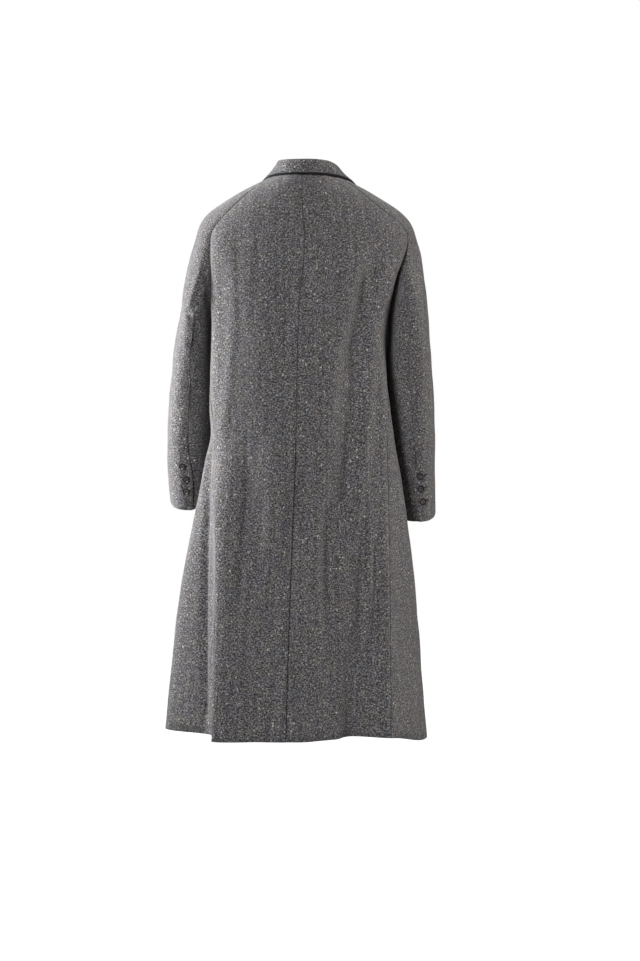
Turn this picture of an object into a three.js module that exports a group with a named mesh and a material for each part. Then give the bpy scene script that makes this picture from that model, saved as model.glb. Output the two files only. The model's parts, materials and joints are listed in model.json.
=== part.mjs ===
import * as THREE from 'three';

// A calf-length raglan overcoat in flecked wool tweed, as it is worn: hollow, with the arms hanging.
// Millimetres. +Z is up, +Y is the front of the coat and +X is the wearer's right.
// The origin is in the middle of the neck opening, level with the shoulders beside the neck.
// An angle goes round the coat from the centre back, 0, by the side, 90, to the centre front, 180.
// Angles on the wearer's right are positive, and those on the left are negative.

// Cloth and seams
const WALL = 2.2;
const SEAM_GAP = 0.3;
const LONGEST_MITRE = 0.35;

// Colours of the cloth, the felt and the buttons
const TWEED = 0x5f5d60;
const FELT = 0x17181b;
const HORN = 0x1b1a1c;

// The torso, cut level by level: half widths to the left and right, and depths to the back and front
const TORSO = [
  { z: 12, left: 46, right: 68, back: 62, front: 56, square: 2.0 },
  { z: -4, left: 50, right: 74, back: 66, front: 62, square: 2.0 },
  { z: -14, left: 60, right: 85, back: 71, front: 68, square: 2.0 },
  { z: -26, left: 81, right: 101, back: 82, front: 76, square: 2.0 },
  { z: -41, left: 114, right: 131, back: 95, front: 84, square: 2.0 },
  { z: -61, left: 149, right: 165, back: 107, front: 92, square: 2.0 },
  { z: -82, left: 180, right: 198, back: 116, front: 98, square: 2.05 },
  { z: -102, left: 202, right: 221, back: 123, front: 104, square: 2.1 },
  { z: -123, left: 211, right: 233, back: 129, front: 109, square: 2.2 },
  { z: -150, left: 204, right: 230, back: 136, front: 114, square: 2.4 },
  { z: -185, left: 192, right: 214, back: 142, front: 120, square: 2.6 },
  { z: -225, left: 184, right: 199, back: 147, front: 125, square: 2.7 },
  { z: -265, left: 180, right: 187, back: 150, front: 129, square: 2.8 },
  { z: -300, left: 178, right: 179, back: 152, front: 132, square: 2.8 },
  { z: -345, left: 176, right: 173, back: 153, front: 134, square: 2.8 },
  { z: -400, left: 178, right: 173, back: 154, front: 137, square: 2.8 },
  { z: -500, left: 181, right: 178, back: 156, front: 141, square: 2.7 },
  { z: -560, left: 184, right: 182, back: 158, front: 144, square: 2.65 },
  { z: -600, left: 189, right: 188, back: 159, front: 147, square: 2.6 },
  { z: -700, left: 210, right: 204, back: 163, front: 155, square: 2.5 },
  { z: -850, left: 240, right: 227, back: 169, front: 168, square: 2.4 },
  { z: -1000, left: 262, right: 243, back: 177, front: 182, square: 2.35 },
  { z: -1170, left: 282, right: 259, back: 187, front: 198, square: 2.3 },
];

// The largest folds. Each runs down the coat by its rows: where it is, how far it lifts the cloth,
// and how far it spreads towards the centre back and away from it. A lift below 0 is a trough.
const LEFT_RIDGE = [
  { z: -150, angle: -49, lift: 0, inner: 20, outer: 9 },
  { z: -420, angle: -54, lift: 6, inner: 20, outer: 8 },
  { z: -600, angle: -54.5, lift: 13, inner: 20, outer: 7 },
  { z: -700, angle: -50.5, lift: 17, inner: 20, outer: 7 },
  { z: -770, angle: -46.5, lift: 19, inner: 20, outer: 7 },
  { z: -900, angle: -43.2, lift: 23, inner: 20, outer: 7 },
  { z: -1150, angle: -40, lift: 28, inner: 20, outer: 7.5 },
];
const LEFT_HOLLOW = [
  { z: -440, angle: -68, lift: 0, inner: 12, outer: 14 },
  { z: -620, angle: -71, lift: -9, inner: 14, outer: 15 },
  { z: -760, angle: -68, lift: -27, inner: 17, outer: 18 },
  { z: -850, angle: -66.5, lift: -41, inner: 20, outer: 20 },
  { z: -1000, angle: -66, lift: -56, inner: 22, outer: 21 },
  { z: -1150, angle: -66, lift: -68, inner: 23, outer: 22 },
];
const LEFT_EASE = [
  { z: -115, angle: -61, lift: 0, inner: 14, outer: 8 },
  { z: -180, angle: -63, lift: 13, inner: 14, outer: 8.5 },
  { z: -290, angle: -63.5, lift: 17, inner: 15, outer: 10 },
  { z: -455, angle: -63, lift: 17, inner: 15, outer: 13 },
  { z: -520, angle: -65, lift: 16, inner: 15, outer: 14 },
  { z: -600, angle: -72, lift: 19, inner: 16, outer: 14 },
  { z: -690, angle: -77, lift: 16, inner: 15, outer: 14 },
  { z: -760, angle: -79, lift: 13, inner: 14, outer: 14 },
  { z: -900, angle: -84, lift: 7, inner: 14, outer: 14 },
  { z: -1100, angle: -88, lift: 0, inner: 14, outer: 14 },
];
const RIGHT_TROUGH = [
  { z: -140, angle: 52, lift: 0, inner: 9, outer: 9 },
  { z: -200, angle: 49, lift: -7, inner: 10, outer: 10 },
  { z: -287, angle: 42, lift: -13, inner: 9.5, outer: 11 },
  { z: -400, angle: 36, lift: -18, inner: 9, outer: 12 },
  { z: -578, angle: 31, lift: -17, inner: 9, outer: 12 },
  { z: -690, angle: 26, lift: -13, inner: 9, outer: 11 },
  { z: -790, angle: 20, lift: -10, inner: 8, outer: 11 },
  { z: -950, angle: 17, lift: -11, inner: 7.5, outer: 10 },
  { z: -1150, angle: 15.5, lift: -10, inner: 7.5, outer: 10 },
];
const RIGHT_HOLLOW = [
  { z: -660, angle: 34, lift: 0, inner: 13, outer: 13 },
  { z: -850, angle: 36, lift: -15, inner: 14, outer: 13 },
  { z: -1150, angle: 38, lift: -34, inner: 15, outer: 12 },
];
const RIGHT_EASE = [
  { z: -115, angle: 69, lift: 0, inner: 12, outer: 8 },
  { z: -200, angle: 67, lift: 6, inner: 12, outer: 8 },
  { z: -279, angle: 63.5, lift: 9, inner: 12, outer: 10 },
  { z: -335, angle: 62, lift: 5, inner: 12, outer: 12 },
  { z: -400, angle: 62, lift: 8, inner: 12, outer: 14 },
  { z: -480, angle: 63, lift: 14, inner: 14, outer: 14 },
  { z: -560, angle: 68, lift: 17, inner: 16, outer: 14 },
  { z: -660, angle: 73, lift: 18, inner: 17, outer: 13 },
  { z: -760, angle: 76, lift: 14, inner: 16, outer: 13 },
  { z: -900, angle: 80, lift: 8, inner: 14, outer: 14 },
  { z: -1100, angle: 84, lift: 0, inner: 14, outer: 14 },
];
const RIGHT_RIDGE = [
  { z: -420, angle: 57.5, lift: 0, inner: 7, outer: 8 },
  { z: -640, angle: 57.5, lift: 6, inner: 7, outer: 9 },
  { z: -800, angle: 55, lift: 9, inner: 7, outer: 9 },
  { z: -1150, angle: 51, lift: 11, inner: 7, outer: 10 },
];

// The folds that both sides have: where the front and the side lie against the arm, and the fronts
const SIDE_FOLDS = [
  [
    { z: -120, angle: 118, lift: 0, inner: 14, outer: 14 },
    { z: -210, angle: 119, lift: 8, inner: 14, outer: 14 },
    { z: -300, angle: 117, lift: 20, inner: 16, outer: 15 },
    { z: -345, angle: 116, lift: 24, inner: 16, outer: 16 },
    { z: -440, angle: 116, lift: 22, inner: 16, outer: 16 },
    { z: -490, angle: 116, lift: 17, inner: 16, outer: 16 },
    { z: -560, angle: 117, lift: 12, inner: 16, outer: 16 },
    { z: -640, angle: 117, lift: 0, inner: 16, outer: 16 },
  ],
  [
    { z: -560, angle: 104, lift: 0, inner: 24, outer: 26 },
    { z: -640, angle: 107, lift: -14, inner: 24, outer: 26 },
    { z: -710, angle: 108, lift: -20, inner: 24, outer: 26 },
    { z: -780, angle: 108, lift: -9, inner: 24, outer: 26 },
    { z: -870, angle: 108, lift: 0, inner: 24, outer: 26 },
  ],
  [
    { z: -560, angle: 121, lift: 0, inner: 13, outer: 15 },
    { z: -860, angle: 120, lift: -14, inner: 14, outer: 15 },
    { z: -1150, angle: 118, lift: -22, inner: 15, outer: 15 },
  ],
  [
    { z: -300, angle: 142, lift: 0, inner: 14, outer: 15 },
    { z: -780, angle: 141, lift: 11, inner: 14, outer: 15 },
    { z: -1150, angle: 140, lift: 13, inner: 14, outer: 15 },
  ],
  [
    { z: -600, angle: 157, lift: 0, inner: 9, outer: 9 },
    { z: -900, angle: 156, lift: -10, inner: 9, outer: 9 },
    { z: -1150, angle: 155, lift: -14, inner: 10, outer: 9 },
  ],
];

// The two raglan lines, from the neck down to where the armhole starts to curve under the arm
const ARMHOLE_TOP = -200;
const UNDERARM = -300;
const RAGLAN = [
  { z: -12, backLeft: 62, backRight: 62, frontLeft: 120, frontRight: 120 },
  { z: -50, backLeft: 61, backRight: 61, frontLeft: 121, frontRight: 121 },
  { z: -82, backLeft: 61, backRight: 62, frontLeft: 120, frontRight: 119 },
  { z: -102, backLeft: 63, backRight: 66, frontLeft: 118, frontRight: 117 },
  { z: -130, backLeft: 68, backRight: 73, frontLeft: 115, frontRight: 114 },
  { z: -165, backLeft: 70, backRight: 76, frontLeft: 112, frontRight: 111 },
  { z: -200, backLeft: 69, backRight: 75, frontLeft: 111, frontRight: 110 },
];

// The neckline, by its angle from the centre back, which lies lower on the right
const NECKLINE = [
  { angle: -120, z: -12 },
  { angle: -95, z: -8 },
  { angle: -70, z: -9 },
  { angle: -40, z: -14 },
  { angle: 0, z: -17 },
  { angle: 55, z: -16 },
  { angle: 75, z: -17 },
  { angle: 95, z: -18 },
  { angle: 120, z: -12 },
];

// The centre back seam, the side seams and the hem
const CENTRE_BACK = [
  { z: 0, angle: -6 },
  { z: -60, angle: -3 },
  { z: -250, angle: -1.5 },
  { z: -450, angle: -1.5 },
  { z: -600, angle: -3.5 },
  { z: -1170, angle: -5.5 },
];
const SIDE_SEAM = {
  meetsArmhole: 12,
  settledBelow: -560,
  left: [
    { z: -560, angle: 59 },
    { z: -620, angle: 58 },
    { z: -700, angle: 53 },
    { z: -770, angle: 48.6 },
    { z: -860, angle: 46.2 },
    { z: -1000, angle: 43.6 },
    { z: -1150, angle: 41.6 },
  ],
  right: [
    { z: -560, angle: 60 },
    { z: -640, angle: 59.2 },
    { z: -770, angle: 56.6 },
    { z: -860, angle: 54.8 },
    { z: -1000, angle: 53 },
    { z: -1150, angle: 51.2 },
  ],
};

// The columns of each half of the back follow its folds down: where each named column runs
const BACK_COLUMNS = 16;
const BACK_GUIDES = {
  left: [
    {
      column: 11,
      path: [
        { z: -12, angle: -46 },
        { z: -150, angle: -47 },
        { z: -420, angle: -49 },
        { z: -600, angle: -47 },
        { z: -770, angle: -39.5 },
        { z: -1150, angle: -33 },
      ],
    },
    {
      column: 14,
      path: [
        { z: -12, angle: -57 },
        { z: -110, angle: -59 },
        { z: -200, angle: -62.5 },
        { z: -300, angle: -63 },
        { z: -440, angle: -57.5 },
        { z: -600, angle: -54.5 },
        { z: -700, angle: -50.5 },
        { z: -770, angle: -46.5 },
        { z: -900, angle: -43.2 },
        { z: -1150, angle: -40 },
      ],
    },
  ],
  right: [
    {
      column: 7,
      path: [
        { z: -12, angle: 30 },
        { z: -110, angle: 40 },
        { z: -200, angle: 45 },
        { z: -287, angle: 41 },
        { z: -400, angle: 35 },
        { z: -578, angle: 30 },
        { z: -690, angle: 25.5 },
        { z: -790, angle: 19.5 },
        { z: -950, angle: 17 },
        { z: -1150, angle: 15.5 },
      ],
    },
    {
      column: 12,
      path: [
        { z: -12, angle: 50 },
        { z: -110, angle: 58 },
        { z: -200, angle: 63 },
        { z: -300, angle: 61 },
        { z: -440, angle: 57 },
        { z: -600, angle: 52 },
        { z: -770, angle: 47 },
        { z: -1150, angle: 41 },
      ],
    },
  ],
};
const HEM = [
  { angle: -180, z: -1140 },
  { angle: -120, z: -1138 },
  { angle: -92, z: -1143 },
  { angle: -50, z: -1149 },
  { angle: 5, z: -1150 },
  { angle: 38, z: -1143 },
  { angle: 55, z: -1147 },
  { angle: 76, z: -1160 },
  { angle: 110, z: -1152 },
  { angle: 180, z: -1140 },
];

// Levels of the rows: down the raglan lines, round the armhole, and down the side seams
const RAGLAN_LEVELS = [-12, -26, -41, -61, -82, -102, -123, -145, -170, ARMHOLE_TOP];
const ARMHOLE_STEPS = 5;
const SKIRT_LEVELS = [-330, -385, -440, -500, -552, -572, -597, -660, -730, -800, -870, -940, -1010, -1080, -1150];

// The back vent: the left panel laps over the right one
const BACK_VENT = { top: -552, opens: 20, later: 1, lap: 34, lift: 4.4, eased: 36 };

// The fronts: both roll open along these lines, and below them the left one laps over the right one
const ROLL_LINE = [
  { z: -330, angle: 193.5 },
  { z: -270, angle: 184 },
  { z: -210, angle: 177 },
  { z: -150, angle: 169 },
  { z: -102, angle: 160 },
  { z: -62, angle: 149 },
  { z: -47, angle: 143 },
  { z: -34, angle: 136 },
  { z: -22, angle: 128 },
  { z: -12, angle: 120 },
];
const FRONT_EDGE = 193.5;
const FRONT_EDGE_ROWS = [-420, -540, -680, -830, -985];
const FRONT_COLUMNS = 32;
const FRONT_LAP = { full: 16, ends: 44 };
const FRONT_LIFT = [
  { z: -120, lift: 0 },
  { z: -225, lift: 7.4 },
  { z: -335, lift: 7.4 },
  { z: -420, lift: 3.6 },
];

// The lapels: each row starts on the roll line and ends out on the chest
const LAPEL = [
  { z: -64, endAngle: 123.5, endZ: -90 },
  { z: -102, endAngle: 131, endZ: -136 },
  { z: -150, endAngle: 141, endZ: -181 },
  { z: -210, endAngle: 154, endZ: -237 },
  { z: -270, endAngle: 169, endZ: -289 },
  { z: -325, endAngle: 188, endZ: -332 },
];
const LAPEL_ROWS = [-64, -82, -102, -125, -150, -180, -210, -270, -325];
const LAPEL_COLUMNS = 5;
const TURNED = { gap: 1.8, past: 3.2, under: 1.4 };

// The arms: how far out and in each sleeve reaches, where its middle is, and half its depth
const ARMS = {
  left: [
    { z: -100, outer: 203, inner: 128, middle: 0, half: 70 },
    { z: -140, outer: 218, inner: 142, middle: -2, half: 77 },
    { z: -185, outer: 228, inner: 155, middle: -4, half: 83 },
    { z: -225, outer: 236, inner: 168, middle: -3, half: 86 },
    { z: -266, outer: 242, inner: 177, middle: -1, half: 86 },
    { z: -300, outer: 248, inner: 180, middle: 0, half: 84 },
    { z: -345, outer: 256, inner: 183, middle: 2, half: 80 },
    { z: -400, outer: 263, inner: 184, middle: 6, half: 76 },
    { z: -471, outer: 271, inner: 185, middle: 13, half: 71 },
    { z: -553, outer: 275, inner: 188, middle: 25, half: 67 },
    { z: -610, outer: 276, inner: 191, middle: 37, half: 64 },
    { z: -660, outer: 273, inner: 192, middle: 49, half: 61 },
    { z: -730, outer: 268, inner: 192, middle: 62, half: 58 },
  ],
  right: [
    { z: -100, outer: 220, inner: 138, middle: 0, half: 70 },
    { z: -140, outer: 239, inner: 155, middle: -2, half: 77 },
    { z: -185, outer: 248, inner: 166, middle: -4, half: 83 },
    { z: -225, outer: 252, inner: 172, middle: -3, half: 86 },
    { z: -266, outer: 258, inner: 178, middle: -1, half: 86 },
    { z: -300, outer: 261, inner: 181, middle: 0, half: 84 },
    { z: -345, outer: 264, inner: 178.5, middle: 2, half: 80 },
    { z: -400, outer: 268, inner: 175, middle: 6, half: 76 },
    { z: -471, outer: 274, inner: 178, middle: 13, half: 71 },
    { z: -553, outer: 276, inner: 187, middle: 24, half: 67 },
    { z: -635, outer: 277, inner: 192, middle: 38, half: 63 },
    { z: -697, outer: 278, inner: 194, middle: 50, half: 60 },
    { z: -745, outer: 278, inner: 196, middle: 58, half: 59 },
  ],
};
const ARM_TAKES_OVER = { from: -95, to: -170 };
const ARM_SQUARE = 2.15;
const SEAM_PULL = 75;
const SLEEVE_LEVELS = [-330, -368, -410, -455, -500, -535, -553, -572, -598, -632, -668];
const TOP_SLEEVE_COLUMNS = 16;

// The seams along the sleeves start on the armhole: the way round the arm that each one takes, from
// 0 on the inside, by 90 at the back and 180 on the outside, to 270 at the front
const SLEEVE_SEAMS_START = 9;
const ELBOW_SEAM = {
  left: [
    { z: -330, turn: 90 },
    { z: -568, turn: 87 },
    { z: -668, turn: 91 },
  ],
  right: [
    { z: -330, turn: 88 },
    { z: -582, turn: 91 },
    { z: -698, turn: 105 },
  ],
};
const FRONT_SLEEVE_SEAM = 270;

// The cuffs hang lower at the back. Each has a vent that laps over the under sleeve, with a row of
// buttons beside its edge.
const CUFF = {
  left: { z: -668, backDrop: 29, frontRise: 12, vent: 115, buttons: [82, 59.5, 37.5] },
  right: { z: -698, backDrop: 23, frontRise: 12, vent: 128, buttons: [88, 65.5, 41] },
};
const CUFF_DROP_FROM = -430;
const CUFF_VENT = { opens: 18, later: 1.5, lap: 10, lift: 3.4, flat: 12, eased: 26 };

// The drag folds of the sleeves: each lies round the arm at a level that slopes from its middle
const SLEEVE_FOLDS = {
  left: [
    { level: -262, slope: 34, at: 125, lift: 4, tall: 36, spread: 60 },
    { level: -322, slope: 40, at: 115, lift: -6, tall: 36, spread: 65 },
    { level: -372, slope: 36, at: 130, lift: 4, tall: 36, spread: 65 },
    { level: -468, slope: -30, at: 80, lift: -5, tall: 38, spread: 60 },
    { level: -520, slope: -26, at: 100, lift: 4, tall: 38, spread: 65 },
  ],
  right: [
    { level: -322, slope: 30, at: 85, lift: -6, tall: 38, spread: 65 },
    { level: -378, slope: 26, at: 105, lift: 4, tall: 38, spread: 65 },
    { level: -470, slope: -24, at: 100, lift: -5, tall: 40, spread: 65 },
    { level: -528, slope: -20, at: 95, lift: 3, tall: 38, spread: 65 },
  ],
};

// The collar: a stand at the neck that rolls over into a fall. Its rows give the height and lean of
// the stand, and where the edge of the fall lies on the coat.
const COLLAR = [
  { angle: -148, stand: 4, lean: 0, roll: 3.6, edgeAngle: -131, edgeZ: -76, off: 3.3 },
  { angle: -136, stand: 8, lean: -1, roll: 4.0, edgeAngle: -124, edgeZ: -66, off: 3.3 },
  { angle: -120, stand: 13, lean: -6, roll: 4.6, edgeAngle: -115, edgeZ: -42, off: 3.3 },
  { angle: -92, stand: 16.5, lean: -17, roll: 5, edgeAngle: -91, edgeZ: -20, off: 3.3 },
  { angle: -55, stand: 18, lean: -7, roll: 5, edgeAngle: -54, edgeZ: -18, off: 4 },
  { angle: -25, stand: 19, lean: 2, roll: 5, edgeAngle: -25, edgeZ: -20, off: 6 },
  { angle: 0, stand: 19.5, lean: 5, roll: 5, edgeAngle: 0, edgeZ: -21, off: 6.5 },
  { angle: 25, stand: 18.5, lean: 3, roll: 5, edgeAngle: 25, edgeZ: -21, off: 6 },
  { angle: 40, stand: 16, lean: 0, roll: 5, edgeAngle: 40, edgeZ: -21, off: 5 },
  { angle: 55, stand: 11.5, lean: -5, roll: 5, edgeAngle: 55, edgeZ: -22, off: 4 },
  { angle: 75, stand: 6.5, lean: -11, roll: 4.6, edgeAngle: 75, edgeZ: -24, off: 3.3 },
  { angle: 92, stand: 6, lean: -10, roll: 4.5, edgeAngle: 92, edgeZ: -28, off: 3.3 },
  { angle: 120, stand: 8, lean: -4, roll: 4.4, edgeAngle: 115, edgeZ: -46, off: 3.3 },
  { angle: 136, stand: 8, lean: -1, roll: 4.0, edgeAngle: 124, edgeZ: -66, off: 3.3 },
  { angle: 148, stand: 4, lean: 0, roll: 3.6, edgeAngle: 131, edgeZ: -76, off: 3.3 },
];
const COLLAR_ANGLES = [0, 12, 25, 38, 52, 66, 80, 92, 102, 111, 120, 128, 136, 143, 148];
const COLLAR_BASE = 1.3;
const COLLAR_LAYER = 2.0;
const COLLAR_GAP = 0.5;
const COLLAR_CLEARANCE = 4;
const ROLL_STEPS = 4;
const FALL_STEPS = 3;
const FELT_SHOWS = { back: 6.5, ends: 0.6, from: 92, to: 140 };

// Buttons
const CUFF_BUTTON = { radius: 7.5, thick: 3.2, gap: 0.6, fromEdge: 12.5 };
const FRONT_BUTTON = { radius: 12.5, thick: 4.2, gap: 0.8, levels: [-347, -464, -581] };
const BUTTON_SIDES = 12;
const BUTTON_RINGS = [
  { reach: 0.9, up: 0 },
  { reach: 1, up: 0.3 },
  { reach: 0.97, up: 0.8 },
  { reach: 0.84, up: 1 },
  { reach: 0.62, up: 0.72 },
];

const radians = (degrees) => THREE.MathUtils.degToRad(degrees);

// Rises smoothly from 0 to 1 as t does
function ease(t) {
  const held = THREE.MathUtils.clamp(t, 0, 1);
  return held * held * (3 - 2 * held);
}

// A smooth hump, 1 at t = 0 and 0 beyond 1 either way
function hump(t) {
  return Math.abs(t) < 1 ? (1 - t * t) ** 2 : 0;
}

// A smooth curve through one column of a table, which never swings past its rows
function through(table, at, key) {
  const rows = [...table].sort((one, two) => one[at] - two[at]);
  const x = rows.map((row) => row[at]);
  const y = rows.map((row) => row[key]);
  const last = x.length - 1;
  const rise = y.slice(1).map((value, i) => (value - y[i]) / (x[i + 1] - x[i]));
  const slope = y.map((_, i) => {
    if (i === 0) return rise[0];
    if (i === last) return rise[last - 1];
    const turns = rise[i - 1] * rise[i] <= 0;
    return turns ? 0 : (2 * rise[i - 1] * rise[i]) / (rise[i - 1] + rise[i]);
  });
  return (value) => {
    const held = THREE.MathUtils.clamp(value, x[0], x[last]);
    let i = 0;
    while (i < last - 1 && held > x[i + 1]) i += 1;
    const span = x[i + 1] - x[i];
    const t = (held - x[i]) / span;
    const start = y[i] + (y[i + 1] - y[i]) * (t * t * (3 - 2 * t));
    return start + span * (slope[i] * t * (1 - t) ** 2 - slope[i + 1] * t * t * (1 - t));
  };
}

const torso = {
  left: through(TORSO, 'z', 'left'),
  right: through(TORSO, 'z', 'right'),
  back: through(TORSO, 'z', 'back'),
  front: through(TORSO, 'z', 'front'),
  square: through(TORSO, 'z', 'square'),
};
const centreBack = through(CENTRE_BACK, 'z', 'angle');
const hemLevel = through(HEM, 'angle', 'z');
const rollAngle = through(ROLL_LINE, 'z', 'angle');
const frontLift = through(FRONT_LIFT, 'z', 'lift');

// The level of the neck's edge: the neckline, and then the roll line down each front
const neckline = through(NECKLINE, 'angle', 'z');
const rollLevel = through(ROLL_LINE, 'angle', 'z');
function neckLevel(angle) {
  const away = Math.abs(angle);
  return away < ROLL_LINE[ROLL_LINE.length - 1].angle ? neckline(angle) : rollLevel(away);
}

// A fold as a function of its place, read from its rows
function foldOf(rows, sign) {
  const at = ['angle', 'lift', 'inner', 'outer'].map((key) => through(rows, 'z', key));
  const top = Math.max(...rows.map((row) => row.z));
  return (angle, z) => {
    if (z > top) return 0;
    const [path, lift, inner, outer] = at.map((column) => column(z));
    const off = angle - sign * path;
    const spread = off * (sign * path) < 0 ? inner : outer;
    return lift * hump(off / spread);
  };
}
const ownFolds = [LEFT_RIDGE, LEFT_HOLLOW, LEFT_EASE, RIGHT_TROUGH, RIGHT_HOLLOW, RIGHT_EASE, RIGHT_RIDGE];
const folds = [
  ...ownFolds.map((rows) => foldOf(rows, 1)),
  ...SIDE_FOLDS.map((rows) => foldOf(rows, 1)),
  ...SIDE_FOLDS.map((rows) => foldOf(rows, -1)),
];

// A point on the outside of the torso
function torsoPoint(angle, z) {
  const wrapped = angle > 180 ? angle - 360 : angle < -180 ? angle + 360 : angle;
  const sine = Math.sin(radians(angle));
  const cosine = Math.cos(radians(angle));
  const half = (torso.left(z) + torso.right(z)) / 2;
  const depth = cosine > 0 ? torso.back(z) : torso.front(z);
  const square = torso.square(z);
  let radius = (Math.abs(sine / half) ** square + Math.abs(cosine / depth) ** square) ** (-1 / square);
  for (const lift of folds) radius += lift(wrapped, z);
  return new THREE.Vector3((torso.right(z) - torso.left(z)) / 2 + radius * sine, -radius * cosine, z);
}

// The outward normal of a surface that is given as a function of two parameters
function normalOf(surface, a, b, stepA, stepB, centre) {
  const alongA = surface(a + stepA, b).sub(surface(a - stepA, b));
  const alongB = surface(a, b + stepB).sub(surface(a, b - stepB));
  const normal = alongA.cross(alongB).normalize();
  const point = surface(a, b);
  return normal.dot(point.sub(centre)) < 0 ? normal.negate() : normal;
}

function torsoNormal(angle, z) {
  return normalOf(torsoPoint, angle, z, 0.4, 1.5, new THREE.Vector3(0, 0, Math.min(z, -150)));
}

// One side of the coat: its raglan lines and its arm
function sideOf(name) {
  const sign = name === 'right' ? 1 : -1;
  const word = name === 'right' ? 'Right' : 'Left';
  const arm = {
    outer: through(ARMS[name], 'z', 'outer'),
    inner: through(ARMS[name], 'z', 'inner'),
    middle: through(ARMS[name], 'z', 'middle'),
    half: through(ARMS[name], 'z', 'half'),
  };
  const backTop = through(RAGLAN, 'z', `back${word}`);
  const frontTop = through(RAGLAN, 'z', `front${word}`);

  // Below its top the armhole is a quarter of an oval, down to the underarm
  const armhole = (top, z) => {
    if (z >= ARMHOLE_TOP) return top(z);
    const down = THREE.MathUtils.clamp((z - UNDERARM) / (ARMHOLE_TOP - UNDERARM), 0, 1);
    const start = top(ARMHOLE_TOP);
    return start + (90 - start) * (1 - Math.sqrt(1 - (1 - down) ** 2));
  };
  const backAngle = (z) => armhole(backTop, z);
  const frontAngle = (z) => armhole(frontTop, z);

  const radiusAround = (turn, z) => {
    const wide = (arm.outer(z) - arm.inner(z)) / 2;
    const deep = arm.half(z);
    const across = Math.abs(Math.cos(radians(turn)) / wide) ** ARM_SQUARE;
    const along = Math.abs(Math.sin(radians(turn)) / deep) ** ARM_SQUARE;
    let radius = (across + along) ** (-1 / ARM_SQUARE);
    for (const fold of SLEEVE_FOLDS[name]) {
      const level = fold.level + fold.slope * Math.sin(radians(turn - fold.at));
      radius += fold.lift * hump((z - level) / fold.tall) * hump((turn - fold.at) / fold.spread);
    }
    return radius;
  };
  const armCentre = (z) => new THREE.Vector3((sign * (arm.outer(z) + arm.inner(z))) / 2, arm.middle(z), z);

  // The ends of the sleeve's arc at a level, which are the two raglan seams
  const arcEnd = (angle, z, isStart) => {
    const point = torsoPoint(sign * angle, z);
    const off = point.sub(armCentre(z));
    const turn = THREE.MathUtils.radToDeg(Math.atan2(-off.y, -sign * off.x));
    const counted = isStart ? turn : turn < 180 ? turn + 360 : turn;
    const pull = Math.hypot(off.x, off.y) - radiusAround(turn, z);
    return { turn: counted, pull };
  };
  const arcAt = (z) => {
    const held = Math.max(z, UNDERARM);
    return [arcEnd(backAngle(held), held, true), arcEnd(frontAngle(held), held, false)];
  };

  // A point on the sleeve, by the way round the arm
  const sleevePoint = (turn, z) => {
    const [start, end] = arcAt(z);
    const kept = 1 - ease((UNDERARM - z) / 60);
    const radius =
      radiusAround(turn, z) +
      kept * start.pull * hump((turn - start.turn) / SEAM_PULL) +
      kept * end.pull * hump((end.turn - turn) / SEAM_PULL);
    const point = armCentre(z);
    point.x -= sign * radius * Math.cos(radians(turn));
    point.y -= radius * Math.sin(radians(turn));
    const takenOver = ease((ARM_TAKES_OVER.from - z) / (ARM_TAKES_OVER.from - ARM_TAKES_OVER.to));
    if (takenOver < 1) {
      const share = (turn - start.turn) / (end.turn - start.turn);
      const angle = THREE.MathUtils.lerp(backAngle(z), frontAngle(z), share);
      point.lerp(torsoPoint(sign * angle, z), 1 - takenOver);
    }
    return point;
  };
  const sleeveNormal = (turn, z) => {
    const level = Math.abs(z - UNDERARM) < 3 ? UNDERARM - 5 : z;
    const centre = armCentre(level);
    if (z > -150) centre.set(sign * 90, 0, Math.min(z - 60, -150));
    return normalOf(sleevePoint, turn, level, 1, 1.5, centre);
  };

  // How the seams along the sleeve leave the armhole and settle
  const elbowSettled = through(ELBOW_SEAM[name], 'z', 'turn');
  const seamsStart = arcAt(ARMHOLE_TOP);
  const leaving = (z) => ease((ARMHOLE_TOP - z) / (ARMHOLE_TOP - ELBOW_SEAM[name][0].z));
  const elbowTurn = (z) => THREE.MathUtils.lerp(seamsStart[0].turn, elbowSettled(z), leaving(z));
  const frontTurn = (z) => THREE.MathUtils.lerp(seamsStart[1].turn, FRONT_SLEEVE_SEAM, leaving(z));

  // How much lower the cuff hangs at the back and higher at the front, which fades out up the sleeve
  const cuffDrop = (turn, z) => {
    const down = ease((CUFF_DROP_FROM - z) / (CUFF_DROP_FROM - CUFF[name].z));
    const sine = Math.sin(radians(turn));
    return -down * sine * (sine > 0 ? CUFF[name].backDrop : CUFF[name].frontRise);
  };
  return { name, sign, backAngle, frontAngle, arcAt, sleevePoint, sleeveNormal, elbowTurn, frontTurn, cuffDrop };
}

const SIDES = { left: sideOf('left'), right: sideOf('right') };

// A place on a front, which on the left is lifted where it laps over the right one
function frontPlace(side, angle, z) {
  const point = torsoPoint(side.sign * angle, z);
  const normal = torsoNormal(side.sign * angle, z);
  if (side.name === 'left') {
    const past = Math.max(0, 180 - angle);
    const near = 1 - ease((past - FRONT_LAP.full) / (FRONT_LAP.ends - FRONT_LAP.full));
    point.addScaledVector(normal, frontLift(z) * near);
  }
  return { point, normal };
}

// The inner point of a wall at a seam, mitred between the two panels that meet there
function mitre(outer, oneNormal, otherNormal) {
  const together = oneNormal.clone().add(otherNormal);
  const scale = WALL / Math.max(1 + oneNormal.dot(otherNormal), LONGEST_MITRE);
  return outer.clone().addScaledVector(together, -scale);
}

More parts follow.
